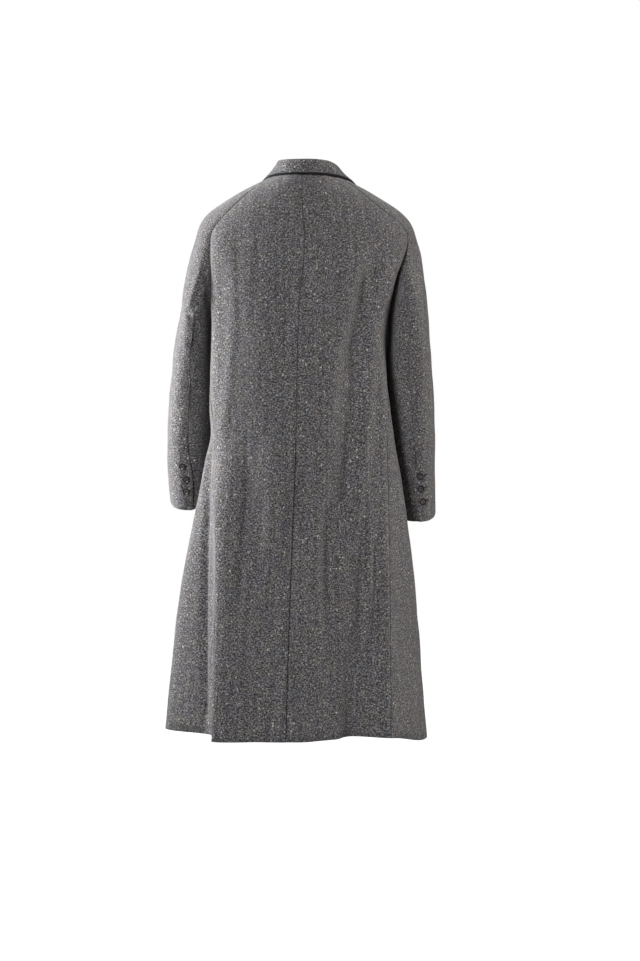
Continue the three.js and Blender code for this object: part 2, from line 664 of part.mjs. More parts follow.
// A wall of cloth over a grid of places, each worked out by the place function
function panelOf(rows, columns, place) {
  const panel = { rows, columns, outer: [], inner: [], normal: [], shift: [] };
  for (let r = 0; r <= rows; r += 1) {
    for (const grid of [panel.outer, panel.inner, panel.normal, panel.shift]) grid.push([]);
    for (let c = 0; c <= columns; c += 1) {
      const { point, normal } = place(r, c);
      panel.outer[r].push(point);
      panel.inner[r].push(point.clone().addScaledVector(normal, -WALL));
      panel.normal[r].push(normal);
      panel.shift[r].push(new THREE.Vector3());
    }
  }
  return panel;
}

// Adds to the stitches of a seam the way across it, which every panel that it joins shares
function stitched(seam) {
  return seam.map((stitch, k) => {
    const before = seam[Math.max(k - 1, 0)].outer;
    const after = seam[Math.min(k + 1, seam.length - 1)].outer;
    const along = after.clone().sub(before).normalize();
    const across = along.clone().cross(stitch.inner.clone().sub(stitch.outer)).normalize();
    return { ...stitch, along, across };
  });
}

// Puts a panel's border on a seam, half a seam gap short of it on the panel's own side
function sewTo(panel, seam, border, inward) {
  seam.forEach((stitch, k) => {
    const [row, column] = border(k);
    const [nextRow, nextColumn] = inward(k);
    const into = stitch.along.clone().cross(panel.normal[row][column]);
    into.multiplyScalar(Math.sign(into.dot(panel.outer[nextRow][nextColumn].clone().sub(stitch.outer))));
    panel.outer[row][column] = stitch.outer.clone();
    panel.inner[row][column] = stitch.inner.clone();
    panel.shift[row][column].addScaledVector(stitch.across, (Math.sign(stitch.across.dot(into)) * SEAM_GAP) / 2);
  });
}

// A closed mesh from a panel: its two faces and the rim that joins them
function wallMesh(name, panel, colour) {
  const { rows, columns, outer, inner, shift } = panel;
  const positions = [];
  const across = columns + 1;
  for (const face of [outer, inner]) {
    for (let r = 0; r <= rows; r += 1) {
      for (let c = 0; c <= columns; c += 1) {
        const point = face[r][c].clone().add(shift[r][c]);
        positions.push(point.x, point.y, point.z);
      }
    }
  }
  const behind = (rows + 1) * across;
  const at = (r, c) => r * across + c;
  const faces = [];
  const quad = (a, b, c, d) => faces.push(a, b, c, a, c, d);
  for (let r = 0; r < rows; r += 1) {
    for (let c = 0; c < columns; c += 1) {
      quad(at(r, c), at(r + 1, c), at(r + 1, c + 1), at(r, c + 1));
      quad(behind + at(r, c), behind + at(r, c + 1), behind + at(r + 1, c + 1), behind + at(r + 1, c));
    }
    quad(at(r, 0), behind + at(r, 0), behind + at(r + 1, 0), at(r + 1, 0));
    quad(at(r, columns), at(r + 1, columns), behind + at(r + 1, columns), behind + at(r, columns));
  }
  for (let c = 0; c < columns; c += 1) {
    quad(at(0, c), at(0, c + 1), behind + at(0, c + 1), behind + at(0, c));
    quad(at(rows, c), behind + at(rows, c), behind + at(rows, c + 1), at(rows, c + 1));
  }
  return meshOf(name, positions, faces, colour);
}

// A named mesh whose faces point out, whichever way its grid ran
function meshOf(name, positions, faces, colour) {
  const corner = [new THREE.Vector3(), new THREE.Vector3(), new THREE.Vector3()];
  let volume = 0;
  for (let f = 0; f < faces.length; f += 3) {
    corner.forEach((point, k) => point.fromArray(positions, faces[f + k] * 3));
    volume += corner[0].dot(corner[1].clone().cross(corner[2]));
  }
  const index = volume > 0 ? faces : faces.map((_, i) => faces[i % 3 === 0 ? i : i % 3 === 1 ? i + 1 : i - 1]);
  const geometry = new THREE.BufferGeometry();
  geometry.setAttribute('position', new THREE.Float32BufferAttribute(positions, 3));
  geometry.setIndex(index);
  geometry.computeVertexNormals();
  const material = new THREE.MeshStandardMaterial({ color: colour, roughness: 0.95, metalness: 0 });
  const mesh = new THREE.Mesh(geometry, material);
  mesh.name = name;
  return mesh;
}

// The levels down the armhole: the raglan line, and then even steps round the oval
const ARMHOLE_LEVELS = [...RAGLAN_LEVELS];
for (let step = 1; step <= ARMHOLE_STEPS; step += 1) {
  const turn = radians((90 * step) / ARMHOLE_STEPS);
  ARMHOLE_LEVELS.push(UNDERARM + (ARMHOLE_TOP - UNDERARM) * (1 - Math.sin(turn)));
}

// Near the neck the rows follow the neckline, and that fades out over the first rows
function nearNeck(row, angle) {
  const fade = Math.max(0, 1 - row / 3);
  return (neckline(angle) - RAGLAN_LEVELS[0]) * fade;
}

// The stitches of a raglan line and armhole, from the neck to the underarm
function raglanSeam(side, face) {
  const isBack = face === 'back';
  const seam = ARMHOLE_LEVELS.map((level, row) => {
    const angle = isBack ? side.backAngle(level) : side.frontAngle(level);
    const z = level + nearNeck(row, side.sign * angle);
    const outer = torsoPoint(side.sign * angle, z);
    const turn = side.arcAt(z)[isBack ? 0 : 1].turn;
    const inner = mitre(outer, torsoNormal(side.sign * angle, z), side.sleeveNormal(turn, z));
    return { angle, z, outer, inner };
  });
  return stitched(seam);
}

// The side seam, from the armhole to the hem
function sideSeam(side, armholeStitches) {
  const start = armholeStitches[SIDE_SEAM.meetsArmhole];
  const settled = through(SIDE_SEAM[side.name], 'z', 'angle');
  const below = SKIRT_LEVELS.map((level, row) => {
    const gone = ease((start.z - level) / (start.z - SIDE_SEAM.settledBelow));
    const angle = THREE.MathUtils.lerp(start.angle, settled(level), gone);
    const z = row === SKIRT_LEVELS.length - 1 ? hemLevel(side.sign * angle) : level;
    const outer = torsoPoint(side.sign * angle, z);
    const inner = outer.clone().addScaledVector(torsoNormal(side.sign * angle, z), -WALL);
    return { angle, z, outer, inner };
  });
  return stitched([start, ...below]);
}

// How far a vent has lifted at a level, and, a little lower, how far it has opened for its lap
const ventLifts = (z, vent, top) => ease((top - z) / vent.opens);
const ventLaps = (z, vent, top) => ease((top - vent.later * vent.opens - z) / vent.opens);

// One half of the back
function backPanel(side) {
  const raglan = raglanSeam(side, 'back').slice(0, SIDE_SEAM.meetsArmhole + 1);
  const seam = sideSeam(side, raglan);
  const edge = [...raglan, ...seam.slice(1)];
  const rows = edge.length - 1;
  const isLeft = side.name === 'left';
  const guides = BACK_GUIDES[side.name].map(({ column, path }) => ({ column, path: through(path, 'z', 'angle') }));
  const angles = edge.map(({ angle, z }) => {
    const lap = isLeft ? 0 : BACK_VENT.lap * ventLaps(z, BACK_VENT, BACK_VENT.top);
    const start = centreBack(z) - THREE.MathUtils.radToDeg(lap / torso.back(z));
    const knots = [
      { column: 0, angle: start },
      ...guides.map(({ column, path }) => ({ column, angle: path(z) })),
      { column: BACK_COLUMNS, angle: side.sign * angle },
    ];
    return through(knots, 'column', 'angle');
  });
  const place = (r, c) => {
    const level = edge[r].z;
    const angle = angles[r](c);
    const z = r === rows ? hemLevel(angle) : level - nearNeck(r, side.sign * edge[r].angle) + nearNeck(r, angle);
    const point = torsoPoint(angle, z);
    const normal = torsoNormal(angle, z);
    if (isLeft) {
      const away = Math.abs(radians(angle - centreBack(level))) * torso.back(level);
      const near = 1 - ease((away - BACK_VENT.lap - 8) / BACK_VENT.eased);
      point.addScaledVector(normal, BACK_VENT.lift * near * ventLifts(level, BACK_VENT, BACK_VENT.top));
    }
    return { point, normal };
  };
  const panel = panelOf(rows, BACK_COLUMNS, place);
  const corner = SIDE_SEAM.meetsArmhole;
  sewTo(panel, raglan, (k) => [k, BACK_COLUMNS], (k) => [k, BACK_COLUMNS - 1]);
  sewTo(panel, seam, (k) => [corner + k, BACK_COLUMNS], (k) => [corner + k, BACK_COLUMNS - 1]);
  const centreSeam = stitched(edge.map((_, r) => ({ outer: panel.outer[r][0], inner: panel.inner[r][0] })));
  sewTo(panel, centreSeam, (k) => [k, 0], (k) => [k, 1]);
  return panel;
}

// Halves each step of a seam, with the new stitches on the straight between the old ones
function halved(seam) {
  const fine = [];
  seam.forEach((stitch, k) => {
    fine.push(stitch);
    const next = seam[k + 1];
    if (!next) return;
    const between = (key) => stitch[key].clone().lerp(next[key], 0.5);
    fine.push({
      angle: (stitch.angle + next.angle) / 2,
      z: (stitch.z + next.z) / 2,
      outer: between('outer'),
      inner: between('inner'),
      along: between('along'),
      across: between('across').normalize(),
    });
  });
  return fine;
}

// One front, which starts at the side seam and goes by the underarm to the front edge
function frontPanel(side) {
  const back = raglanSeam(side, 'back');
  const front = raglanSeam(side, 'front');
  const seam = sideSeam(side, back);
  const top = halved([...back.slice(SIDE_SEAM.meetsArmhole), ...front.slice(0, -1).reverse()]);
  const rows = seam.length - 1;
  const rollRows = [...ROLL_LINE].reverse();
  const edge = [
    ...rollRows,
    ...FRONT_EDGE_ROWS.map((z) => ({ z, angle: FRONT_EDGE })),
    { z: hemLevel(180), angle: FRONT_EDGE },
  ];
  const place = (r, c) => {
    const u = c / FRONT_COLUMNS;
    const v = r / rows;
    const lowAngle = THREE.MathUtils.lerp(seam[rows].angle, FRONT_EDGE, 0.65 * u + 0.35 * u * u);
    const low = { angle: lowAngle, z: hemLevel(side.sign * Math.min(lowAngle, 180)) };
    const blend = (key) => {
      const downwards = (1 - v) * top[c][key] + v * low[key];
      const sideways = (1 - u) * seam[r][key] + u * edge[r][key];
      const corners =
        (1 - v) * ((1 - u) * top[0][key] + u * top[FRONT_COLUMNS][key]) +
        v * ((1 - u) * seam[rows][key] + u * edge[rows][key]);
      return downwards + sideways - corners;
    };
    return frontPlace(side, blend('angle'), r === rows ? low.z : blend('z'));
  };
  const panel = panelOf(rows, FRONT_COLUMNS, place);
  sewTo(panel, seam, (k) => [k, 0], (k) => [k, 1]);
  sewTo(panel, top, (k) => [0, k], (k) => [1, k]);
  return panel;
}

// A lapel, turned back along the roll line: it goes round the edge of the front and lies on it
function lapel(side) {
  const endAngle = through(LAPEL, 'z', 'endAngle');
  const endZ = through(LAPEL, 'z', 'endZ');
  const stations = LAPEL_ROWS.map((z) => {
    const angleAt = (t) => THREE.MathUtils.lerp(rollAngle(z), endAngle(z), t);
    const at = (t) => frontPlace(side, angleAt(t), THREE.MathUtils.lerp(z, endZ(z), t));
    return { at, edge: at(0), beside: at(0.12) };
  });
  const high = TURNED.gap + WALL;
  const outer = [];
  const inner = [];
  for (const { at, edge, beside } of stations) {
    const out = edge.point.clone().sub(beside.point).normalize();
    const spot = (past, up) => edge.point.clone().addScaledVector(out, past).addScaledVector(edge.normal, up);
    const laid = [];
    for (let c = 0; c <= LAPEL_COLUMNS; c += 1) laid.push(at(0.05 + (0.95 * c) / LAPEL_COLUMNS));
    outer.push([
      spot(TURNED.past, -TURNED.under),
      spot(TURNED.past - 0.3, TURNED.gap),
      ...laid.map(({ point, normal }) => point.addScaledVector(normal, high)),
    ]);
    inner.push([
      spot(TURNED.past - WALL, -TURNED.under),
      spot(TURNED.past - WALL, TURNED.gap * 0.5),
      ...laid.map(({ point, normal }) => point.clone().addScaledVector(normal, -WALL)),
    ]);
  }
  const shift = outer.map((row) => row.map(() => new THREE.Vector3()));
  return { rows: outer.length - 1, columns: outer[0].length - 1, outer, inner, shift };
}

// The levels of a sleeve, from where its seams start to the cuff
function sleeveLevels(side) {
  const last = SLEEVE_LEVELS[SLEEVE_LEVELS.length - 1];
  const stretch = (CUFF[side.name].z - UNDERARM) / (last - UNDERARM);
  return [
    ...ARMHOLE_LEVELS.slice(SLEEVE_SEAMS_START),
    ...SLEEVE_LEVELS.map((level) => UNDERARM + (level - UNDERARM) * stretch),
  ];
}

// A seam along a sleeve
function sleeveSeam(side, face) {
  const start = raglanSeam(side, face)[SLEEVE_SEAMS_START];
  const seam = sleeveLevels(side).map((level, k) => {
    const turn = face === 'back' ? side.elbowTurn(level) : side.frontTurn(level);
    if (k === 0) return { ...start, turn, level };
    const z = level + side.cuffDrop(turn, level);
    const outer = side.sleevePoint(turn, z);
    const inner = outer.clone().addScaledVector(side.sleeveNormal(turn, z), -WALL);
    return { turn, level, z, outer, inner };
  });
  return stitched(seam);
}

// A place on the top sleeve below the armhole's top, lifted where the cuff's vent laps over
function cuffPlace(side, level, fromEdge) {
  const ventTop = CUFF[side.name].z + CUFF[side.name].vent;
  const girth = side.sleevePoint(90, level).distanceTo(side.sleevePoint(110, level)) / 20;
  const lap = (CUFF_VENT.lap * ventLaps(level, CUFF_VENT, ventTop)) / girth;
  const turn = side.elbowTurn(level) - lap + fromEdge / girth;
  return { turn, lift: ventLift(side, level, fromEdge) };
}

function ventLift(side, level, fromEdge) {
  const ventTop = CUFF[side.name].z + CUFF[side.name].vent;
  const near = 1 - ease((fromEdge - CUFF_VENT.flat) / CUFF_VENT.eased);
  return CUFF_VENT.lift * ventLifts(level, CUFF_VENT, ventTop) * near;
}

// The top sleeve, from the neck over the shoulder to the cuff
function topSleeve(side) {
  const back = sleeveSeam(side, 'back');
  const front = sleeveSeam(side, 'front');
  const backRaglan = raglanSeam(side, 'back').slice(0, SLEEVE_SEAMS_START + 1);
  const frontRaglan = raglanSeam(side, 'front').slice(0, SLEEVE_SEAMS_START + 1);
  const cap = SLEEVE_SEAMS_START;
  const rows = cap + back.length - 1;
  const ventTop = CUFF[side.name].z + CUFF[side.name].vent;
  const place = (r, c) => {
    const u = c / TOP_SLEEVE_COLUMNS;
    if (r <= cap) {
      const level = ARMHOLE_LEVELS[r];
      const angle = THREE.MathUtils.lerp(side.backAngle(level), side.frontAngle(level), u);
      const z = level + nearNeck(r, side.sign * angle);
      const [start, end] = side.arcAt(z);
      const turn = THREE.MathUtils.lerp(start.turn, end.turn, u);
      return { point: side.sleevePoint(turn, z), normal: side.sleeveNormal(turn, z) };
    }
    const { level } = back[r - cap];
    const from = cuffPlace(side, level, 0).turn;
    const turn = THREE.MathUtils.lerp(from, front[r - cap].turn, u);
    const z = level + side.cuffDrop(turn, level);
    const point = side.sleevePoint(turn, z);
    const normal = side.sleeveNormal(turn, z);
    const fromEdge = side.sleevePoint(from, z).distanceTo(point);
    return { point: point.addScaledVector(normal, ventLift(side, level, fromEdge)), normal };
  };
  const panel = panelOf(rows, TOP_SLEEVE_COLUMNS, place);
  const closed = back.filter(({ level }) => level >= ventTop);
  const last = TOP_SLEEVE_COLUMNS;
  sewTo(panel, backRaglan, (k) => [k, 0], (k) => [k, 1]);
  sewTo(panel, closed, (k) => [cap + k, 0], (k) => [cap + k, 1]);
  sewTo(panel, frontRaglan, (k) => [k, last], (k) => [k, last - 1]);
  sewTo(panel, front, (k) => [cap + k, last], (k) => [cap + k, last - 1]);
  return panel;
}

// The under sleeve, from the lower armhole to the cuff
function underSleeve(side) {
  const back = sleeveSeam(side, 'back');
  const front = sleeveSeam(side, 'front');
  const backRaglan = raglanSeam(side, 'back').slice(SLEEVE_SEAMS_START);
  const frontRaglan = raglanSeam(side, 'front').slice(SLEEVE_SEAMS_START, -1);
  const top = [...backRaglan, ...frontRaglan.reverse()];
  const middle = backRaglan.length - 1;
  const columns = top.length - 1;
  const rows = back.length - 1;
  const startTurn = top.map(({ z }, c) => side.arcAt(z)[c <= middle ? 0 : 1].turn);
  const place = (r, c) => {
    const start = top[c].z;
    const down = (back[r].level - back[0].level) / (back[rows].level - back[0].level);
    const level = THREE.MathUtils.lerp(start, CUFF[side.name].z, down);
    const reach = Math.abs(c - middle) / middle;
    const seam = c <= middle ? side.elbowTurn(level) : 360 - side.frontTurn(level);
    const settled = c <= middle ? seam * reach : 360 - seam * reach;
    const gone = ease((start - level) / (start - ELBOW_SEAM[side.name][0].z));
    const turn = THREE.MathUtils.lerp(startTurn[c], settled, gone);
    const z = level + side.cuffDrop(turn, level);
    return { point: side.sleevePoint(turn, z), normal: side.sleeveNormal(turn, z) };
  };
  const panel = panelOf(rows, columns, place);
  sewTo(panel, top, (k) => [0, k], (k) => [1, k]);
  sewTo(panel, back, (k) => [k, 0], (k) => [k, 1]);
  sewTo(panel, front, (k) => [k, columns], (k) => [k, columns - 1]);
  return panel;
}

// The middle surface of the collar at one way round the neck: a row of points with their normals
const collar = {
  stand: through(COLLAR, 'angle', 'stand'),
  lean: through(COLLAR, 'angle', 'lean'),
  roll: through(COLLAR, 'angle', 'roll'),
  edgeAngle: through(COLLAR, 'angle', 'edgeAngle'),
  edgeZ: through(COLLAR, 'angle', 'edgeZ'),
  off: through(COLLAR, 'angle', 'off'),
};
function collarStation(angle, shows) {
  const neck = torsoPoint(angle, neckLevel(angle));
  const outward = new THREE.Vector3(Math.sin(radians(angle)), -Math.cos(radians(angle)), 0);
  const up = new THREE.Vector3(0, 0, 1);
  const roll = collar.roll(angle);
  const base = neck.clone().addScaledVector(outward, -1).addScaledVector(up, COLLAR_BASE);
  const top = base.clone().addScaledVector(outward, collar.lean(angle)).addScaledVector(up, collar.stand(angle));
  const rolls = [];
  const middle = top.clone().addScaledVector(outward, roll);
  for (let k = 0; k <= ROLL_STEPS; k += 1) {
    const turn = radians((165 * k) / ROLL_STEPS);
    rolls.push(
      middle.clone().addScaledVector(outward, -roll * Math.cos(turn)).addScaledVector(up, roll * Math.sin(turn)),
    );
  }
  const start = rolls[ROLL_STEPS];
  const edgeAngle = collar.edgeAngle(angle);
  const edgeZ = collar.edgeZ(angle);
  const edge = torsoPoint(edgeAngle, edgeZ).addScaledVector(torsoNormal(edgeAngle, edgeZ), collar.off(angle));
  const falls = [];
  for (let k = 1; k <= FALL_STEPS; k += 1) falls.push(clearOfCoat(start.clone().lerp(edge, k / FALL_STEPS)));
  if (shows) {
    const last = falls[FALL_STEPS - 1];
    const before = falls[FALL_STEPS - 2];
    const gone = ease((Math.abs(angle) - shows.from) / (shows.to - shows.from));
    const beyond = THREE.MathUtils.lerp(shows.back, shows.ends, gone);
    falls.push(clearOfCoat(last.clone().addScaledVector(last.clone().sub(before).normalize(), beyond)));
  }
  return [base, ...rolls, ...falls];
}

// Moves a point out until it is clear of the coat's own surface
function clearOfCoat(point) {
  const middle = (torso.right(point.z) - torso.left(point.z)) / 2;
  const angle = THREE.MathUtils.radToDeg(Math.atan2(point.x - middle, -point.y));
  const normal = torsoNormal(angle, point.z);
  const above = point.clone().sub(torsoPoint(angle, point.z)).dot(normal);
  return point.addScaledVector(normal, Math.max(0, COLLAR_CLEARANCE - above));
}

// One layer of the collar, between two distances from its middle surface
function collarLayer(from, to, shows) {
  const angles = [...COLLAR_ANGLES.slice(1).reverse().map((angle) => -angle), ...COLLAR_ANGLES];
  const stations = angles.map((angle) => collarStation(angle, shows));
  const rows = stations.length - 1;
  const columns = stations[0].length - 1;
  const offset = (amount) =>
    stations.map((row, r) =>
      row.map((point, c) => {
        const along = stations[Math.min(r + 1, rows)][c].clone().sub(stations[Math.max(r - 1, 0)][c]);
        const across = row[Math.min(c + 1, columns)].clone().sub(row[Math.max(c - 1, 0)]);
        return point.clone().addScaledVector(across.cross(along).normalize(), amount);
      }),
    );
  const shift = stations.map((row) => row.map(() => new THREE.Vector3()));
  return { rows, columns, outer: offset(to), inner: offset(from), shift };
}

// A round button that lies on the cloth
function button(name, { point, normal }, { radius, thick, gap }) {
  const up = new THREE.Vector3(0, 0, 1);
  const across = up.clone().cross(normal).normalize();
  const along = normal.clone().cross(across);
  const spot = (reach, turn, height) =>
    point
      .clone()
      .addScaledVector(across, radius * reach * Math.cos(turn))
      .addScaledVector(along, radius * reach * Math.sin(turn))
      .addScaledVector(normal, gap + thick * height);
  const points = [spot(0, 0, 0)];
  for (const { reach, up: height } of BUTTON_RINGS) {
    for (let k = 0; k < BUTTON_SIDES; k += 1) points.push(spot(reach, (2 * Math.PI * k) / BUTTON_SIDES, height));
  }
  points.push(spot(0, 0, BUTTON_RINGS[BUTTON_RINGS.length - 1].up - 0.02));
  const faces = [];
  const at = (ring, k) => 1 + ring * BUTTON_SIDES + (k % BUTTON_SIDES);
  const last = BUTTON_RINGS.length - 1;
  for (let k = 0; k < BUTTON_SIDES; k += 1) {
    faces.push(0, at(0, k + 1), at(0, k));
    for (let ring = 0; ring < last; ring += 1) {
      faces.push(at(ring, k), at(ring, k + 1), at(ring + 1, k + 1));
      faces.push(at(ring, k), at(ring + 1, k + 1), at(ring + 1, k));
    }
    faces.push(at(last, k), at(last, k + 1), points.length - 1);
  }
  return meshOf(name, points.flatMap((p) => p.toArray()), faces, HORN);
}

const coat = new THREE.Group();
for (const side of Object.values(SIDES)) {
  coat.add(wallMesh(`back_${side.name}`, backPanel(side), TWEED));
  coat.add(wallMesh(`front_${side.name}`, frontPanel(side), TWEED));
  coat.add(wallMesh(`top_sleeve_${side.name}`, topSleeve(side), TWEED));
  coat.add(wallMesh(`under_sleeve_${side.name}`, underSleeve(side), TWEED));
  coat.add(wallMesh(`lapel_${side.name}`, lapel(side), TWEED));
  CUFF[side.name].buttons.forEach((rise, k) => {
    const level = CUFF[side.name].z + rise;
    const { turn, lift } = cuffPlace(side, level, CUFF_BUTTON.fromEdge);
    const z = level + side.cuffDrop(turn, level);
    const normal = side.sleeveNormal(turn, z);
    const point = side.sleevePoint(turn, z).addScaledVector(normal, lift);
    coat.add(button(`cuff_button_${side.name}_${k + 1}`, { point, normal }, CUFF_BUTTON));
  });
}
const half = COLLAR_GAP / 2;
coat.add(wallMesh('upper_collar', collarLayer(half, half + COLLAR_LAYER), TWEED));
coat.add(wallMesh('undercollar', collarLayer(-half - COLLAR_LAYER, -half, FELT_SHOWS), FELT));
FRONT_BUTTON.levels.forEach((z, k) => {
  coat.add(button(`front_button_${k + 1}`, frontPlace(SIDES.left, 180, z), FRONT_BUTTON));
});

export default coat;
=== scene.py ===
# %% [markdown]
# # A tweed raglan overcoat
#
# This notebook dresses a coat whose cut pieces are already worked out as thin solid walls. A maker
# cuts such a coat from heavy wool tweed, sews the pieces together, presses the seams and steams the
# cloth over the shoulders. Here each wall gets the soft surface, the cloth, the seams and the small
# sewn things that the plain solids don't have. Sizes are in metres, with Z up and the back of the
# coat towards the camera.

# %% Tools and frame
import math
import json

import bpy
import numpy as np
from mathutils import Matrix, Vector, noise
from mathutils.bvhtree import BVHTree
from mathutils.kdtree import KDTree

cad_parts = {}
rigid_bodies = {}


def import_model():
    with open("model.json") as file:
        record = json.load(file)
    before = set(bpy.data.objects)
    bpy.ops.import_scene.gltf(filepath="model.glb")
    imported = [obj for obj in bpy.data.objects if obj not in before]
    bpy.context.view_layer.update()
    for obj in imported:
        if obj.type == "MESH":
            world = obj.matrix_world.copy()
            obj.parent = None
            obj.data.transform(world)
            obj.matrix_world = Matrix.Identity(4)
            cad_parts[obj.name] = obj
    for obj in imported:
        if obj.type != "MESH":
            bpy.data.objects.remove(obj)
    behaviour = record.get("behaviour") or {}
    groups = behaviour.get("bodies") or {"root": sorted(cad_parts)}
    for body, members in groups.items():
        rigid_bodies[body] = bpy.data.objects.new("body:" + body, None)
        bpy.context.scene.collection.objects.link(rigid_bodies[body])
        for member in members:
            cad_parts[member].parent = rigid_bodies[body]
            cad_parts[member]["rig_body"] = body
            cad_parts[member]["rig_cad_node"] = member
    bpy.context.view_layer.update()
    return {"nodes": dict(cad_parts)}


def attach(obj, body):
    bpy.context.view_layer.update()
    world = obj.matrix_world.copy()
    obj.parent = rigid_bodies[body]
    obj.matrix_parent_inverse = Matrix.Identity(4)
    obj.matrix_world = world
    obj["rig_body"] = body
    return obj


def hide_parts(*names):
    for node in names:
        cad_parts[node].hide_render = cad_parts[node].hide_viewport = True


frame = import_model()
nodes = frame["nodes"]
MM = 0.001

# %% [markdown]
# The camera comes first, because every later choice is judged through it. It stands behind the
# coat, level with its middle, as far off as a studio camera with a short telephoto lens would be.

# %% Camera
CAMERA_PLACE = (0.039, -4.2, -0.6365)
camera_data = bpy.data.cameras.new("camera")
camera_data.lens = 76.75
camera_data.sensor_width = 36
camera = bpy.data.objects.new("camera", camera_data)
bpy.context.scene.collection.objects.link(camera)
camera.location = CAMERA_PLACE
camera.rotation_euler = (math.radians(90), 0, 0)
bpy.context.scene.camera = camera

# %% [markdown]
# Studio light on cloth is soft, but here it has a direction. Most of it comes from one panel beside
# the camera, a little to the left, so that each fold has a darker right-hand wall. A narrow beam from
# the far left makes the left sleeve the brightest part, and a weak, warmer one keeps the right side
# open. The floor and the wall behind are one pale sweep, so bright that the line between them is
# lost. The wall looks white to the camera, but it lights the coat only a little, as it would if it
# stood far behind.

# %% Stage and light
FLOOR_LEVEL = -1.56
FLOOR_SIZE = 16


def deselect():
    for each in bpy.context.selected_objects:
        each.select_set(False)


def only(piece):
    deselect()
    bpy.context.view_layer.objects.active = piece
    piece.select_set(True)


deselect()
bpy.ops.mesh.primitive_plane_add(size=FLOOR_SIZE, location=(0, 0, FLOOR_LEVEL))
floor = bpy.context.active_object
floor.name = "studio_floor"
sweep = bpy.data.materials.new("pale_sweep")
sweep.use_nodes = True
sweep_shader = sweep.node_tree.nodes["Principled BSDF"]
sweep_shader.inputs["Base Color"].default_value = (0.86, 0.86, 0.86, 1)
sweep_shader.inputs["Roughness"].default_value = 0.9
sweep_shader.inputs["Emission Color"].default_value = (1, 1, 1, 1)
sweep_shader.inputs["Emission Strength"].default_value = 0.95
floor.data.materials.append(sweep)
floor.visible_diffuse = False
floor.visible_glossy = False


def softbox(name, place, target, size, power, colour=(1, 1, 1), spread=180):
    light = bpy.data.lights.new(name, "AREA")
    light.shape = "RECTANGLE"
    light.size, light.size_y = size
    light.energy = power
    light.color = colour
    light.spread = math.radians(spread)
    lamp = bpy.data.objects.new(name, light)
    bpy.context.scene.collection.objects.link(lamp)
    lamp.location = place
    lamp.rotation_euler = (Vector(target) - Vector(place)).to_track_quat("-Z", "Y").to_euler()


MIDDLE = (0, 0, -0.6)
AMBIENT = 0.18
LEFT_SLEEVE = (-0.25, 0, -0.42)
RIGHT_SLEEVE = (0.2, 0, -0.30)
WARM = (1.0, 0.96, 0.91)
softbox("key_light", (-3.4, 0.7, 0.2), LEFT_SLEEVE, size=(0.9, 0.9), power=14, spread=30)
softbox("fill_light", (4.2, 0.3, 0.2), RIGHT_SLEEVE, size=(1.6, 2.2), power=20, colour=WARM, spread=60)
softbox("camera_light", (-2.2, -5.2, 0.6), MIDDLE, size=(1.6, 1.8), power=232)
softbox("top_light", (0, -0.4, 3.0), MIDDLE, size=(3.0, 3.0), power=6)
world = bpy.data.worlds.new("studio")
world.use_nodes = True
background = world.node_tree.nodes["Background"]
background.inputs["Color"].default_value = (1, 1, 1, 1)
rays = world.node_tree.nodes.new("ShaderNodeLightPath")
wall_brightness = world.node_tree.nodes.new("ShaderNodeMapRange")
wall_brightness.inputs["To Min"].default_value = AMBIENT
wall_brightness.inputs["To Max"].default_value = 1.0
world.node_tree.links.new(rays.outputs["Is Camera Ray"], wall_brightness.inputs["Value"])
world.node_tree.links.new(wall_brightness.outputs["Result"], background.inputs["Strength"])
bpy.context.scene.world = world
bpy.context.scene.view_settings.view_transform = "Standard"

# %% [markdown]
# Shader maths reads best as ordinary sums. The small class below wraps a socket, so that adding or
# multiplying two of them adds the Math nodes.

# %% Shader maths


class Value:
    def __init__(self, material, socket):
        self.material = material
        self.socket = socket

    def math(self, operation, *others):
        return self.material.node(
            "ShaderNodeMath", {"operation": operation}, {0: self, **dict(enumerate(others, 1))}
        )

    def __add__(self, other):
        return self.math("ADD", other)

    def __mul__(self, other):
        return self.math("MULTIPLY", other)

    def __sub__(self, other):
        return self.math("SUBTRACT", other)

    def __rsub__(self, other):
        return (self * -1) + other

    def over(self, other):
        return self.math("DIVIDE", other)

    def step(self, low, high):
        return self.material.node(
            "ShaderNodeMapRange",
            {"interpolation_type": "SMOOTHSTEP", "clamp": True},
            {"Value": self, "From Min": low, "From Max": high},
            "Result",
        )


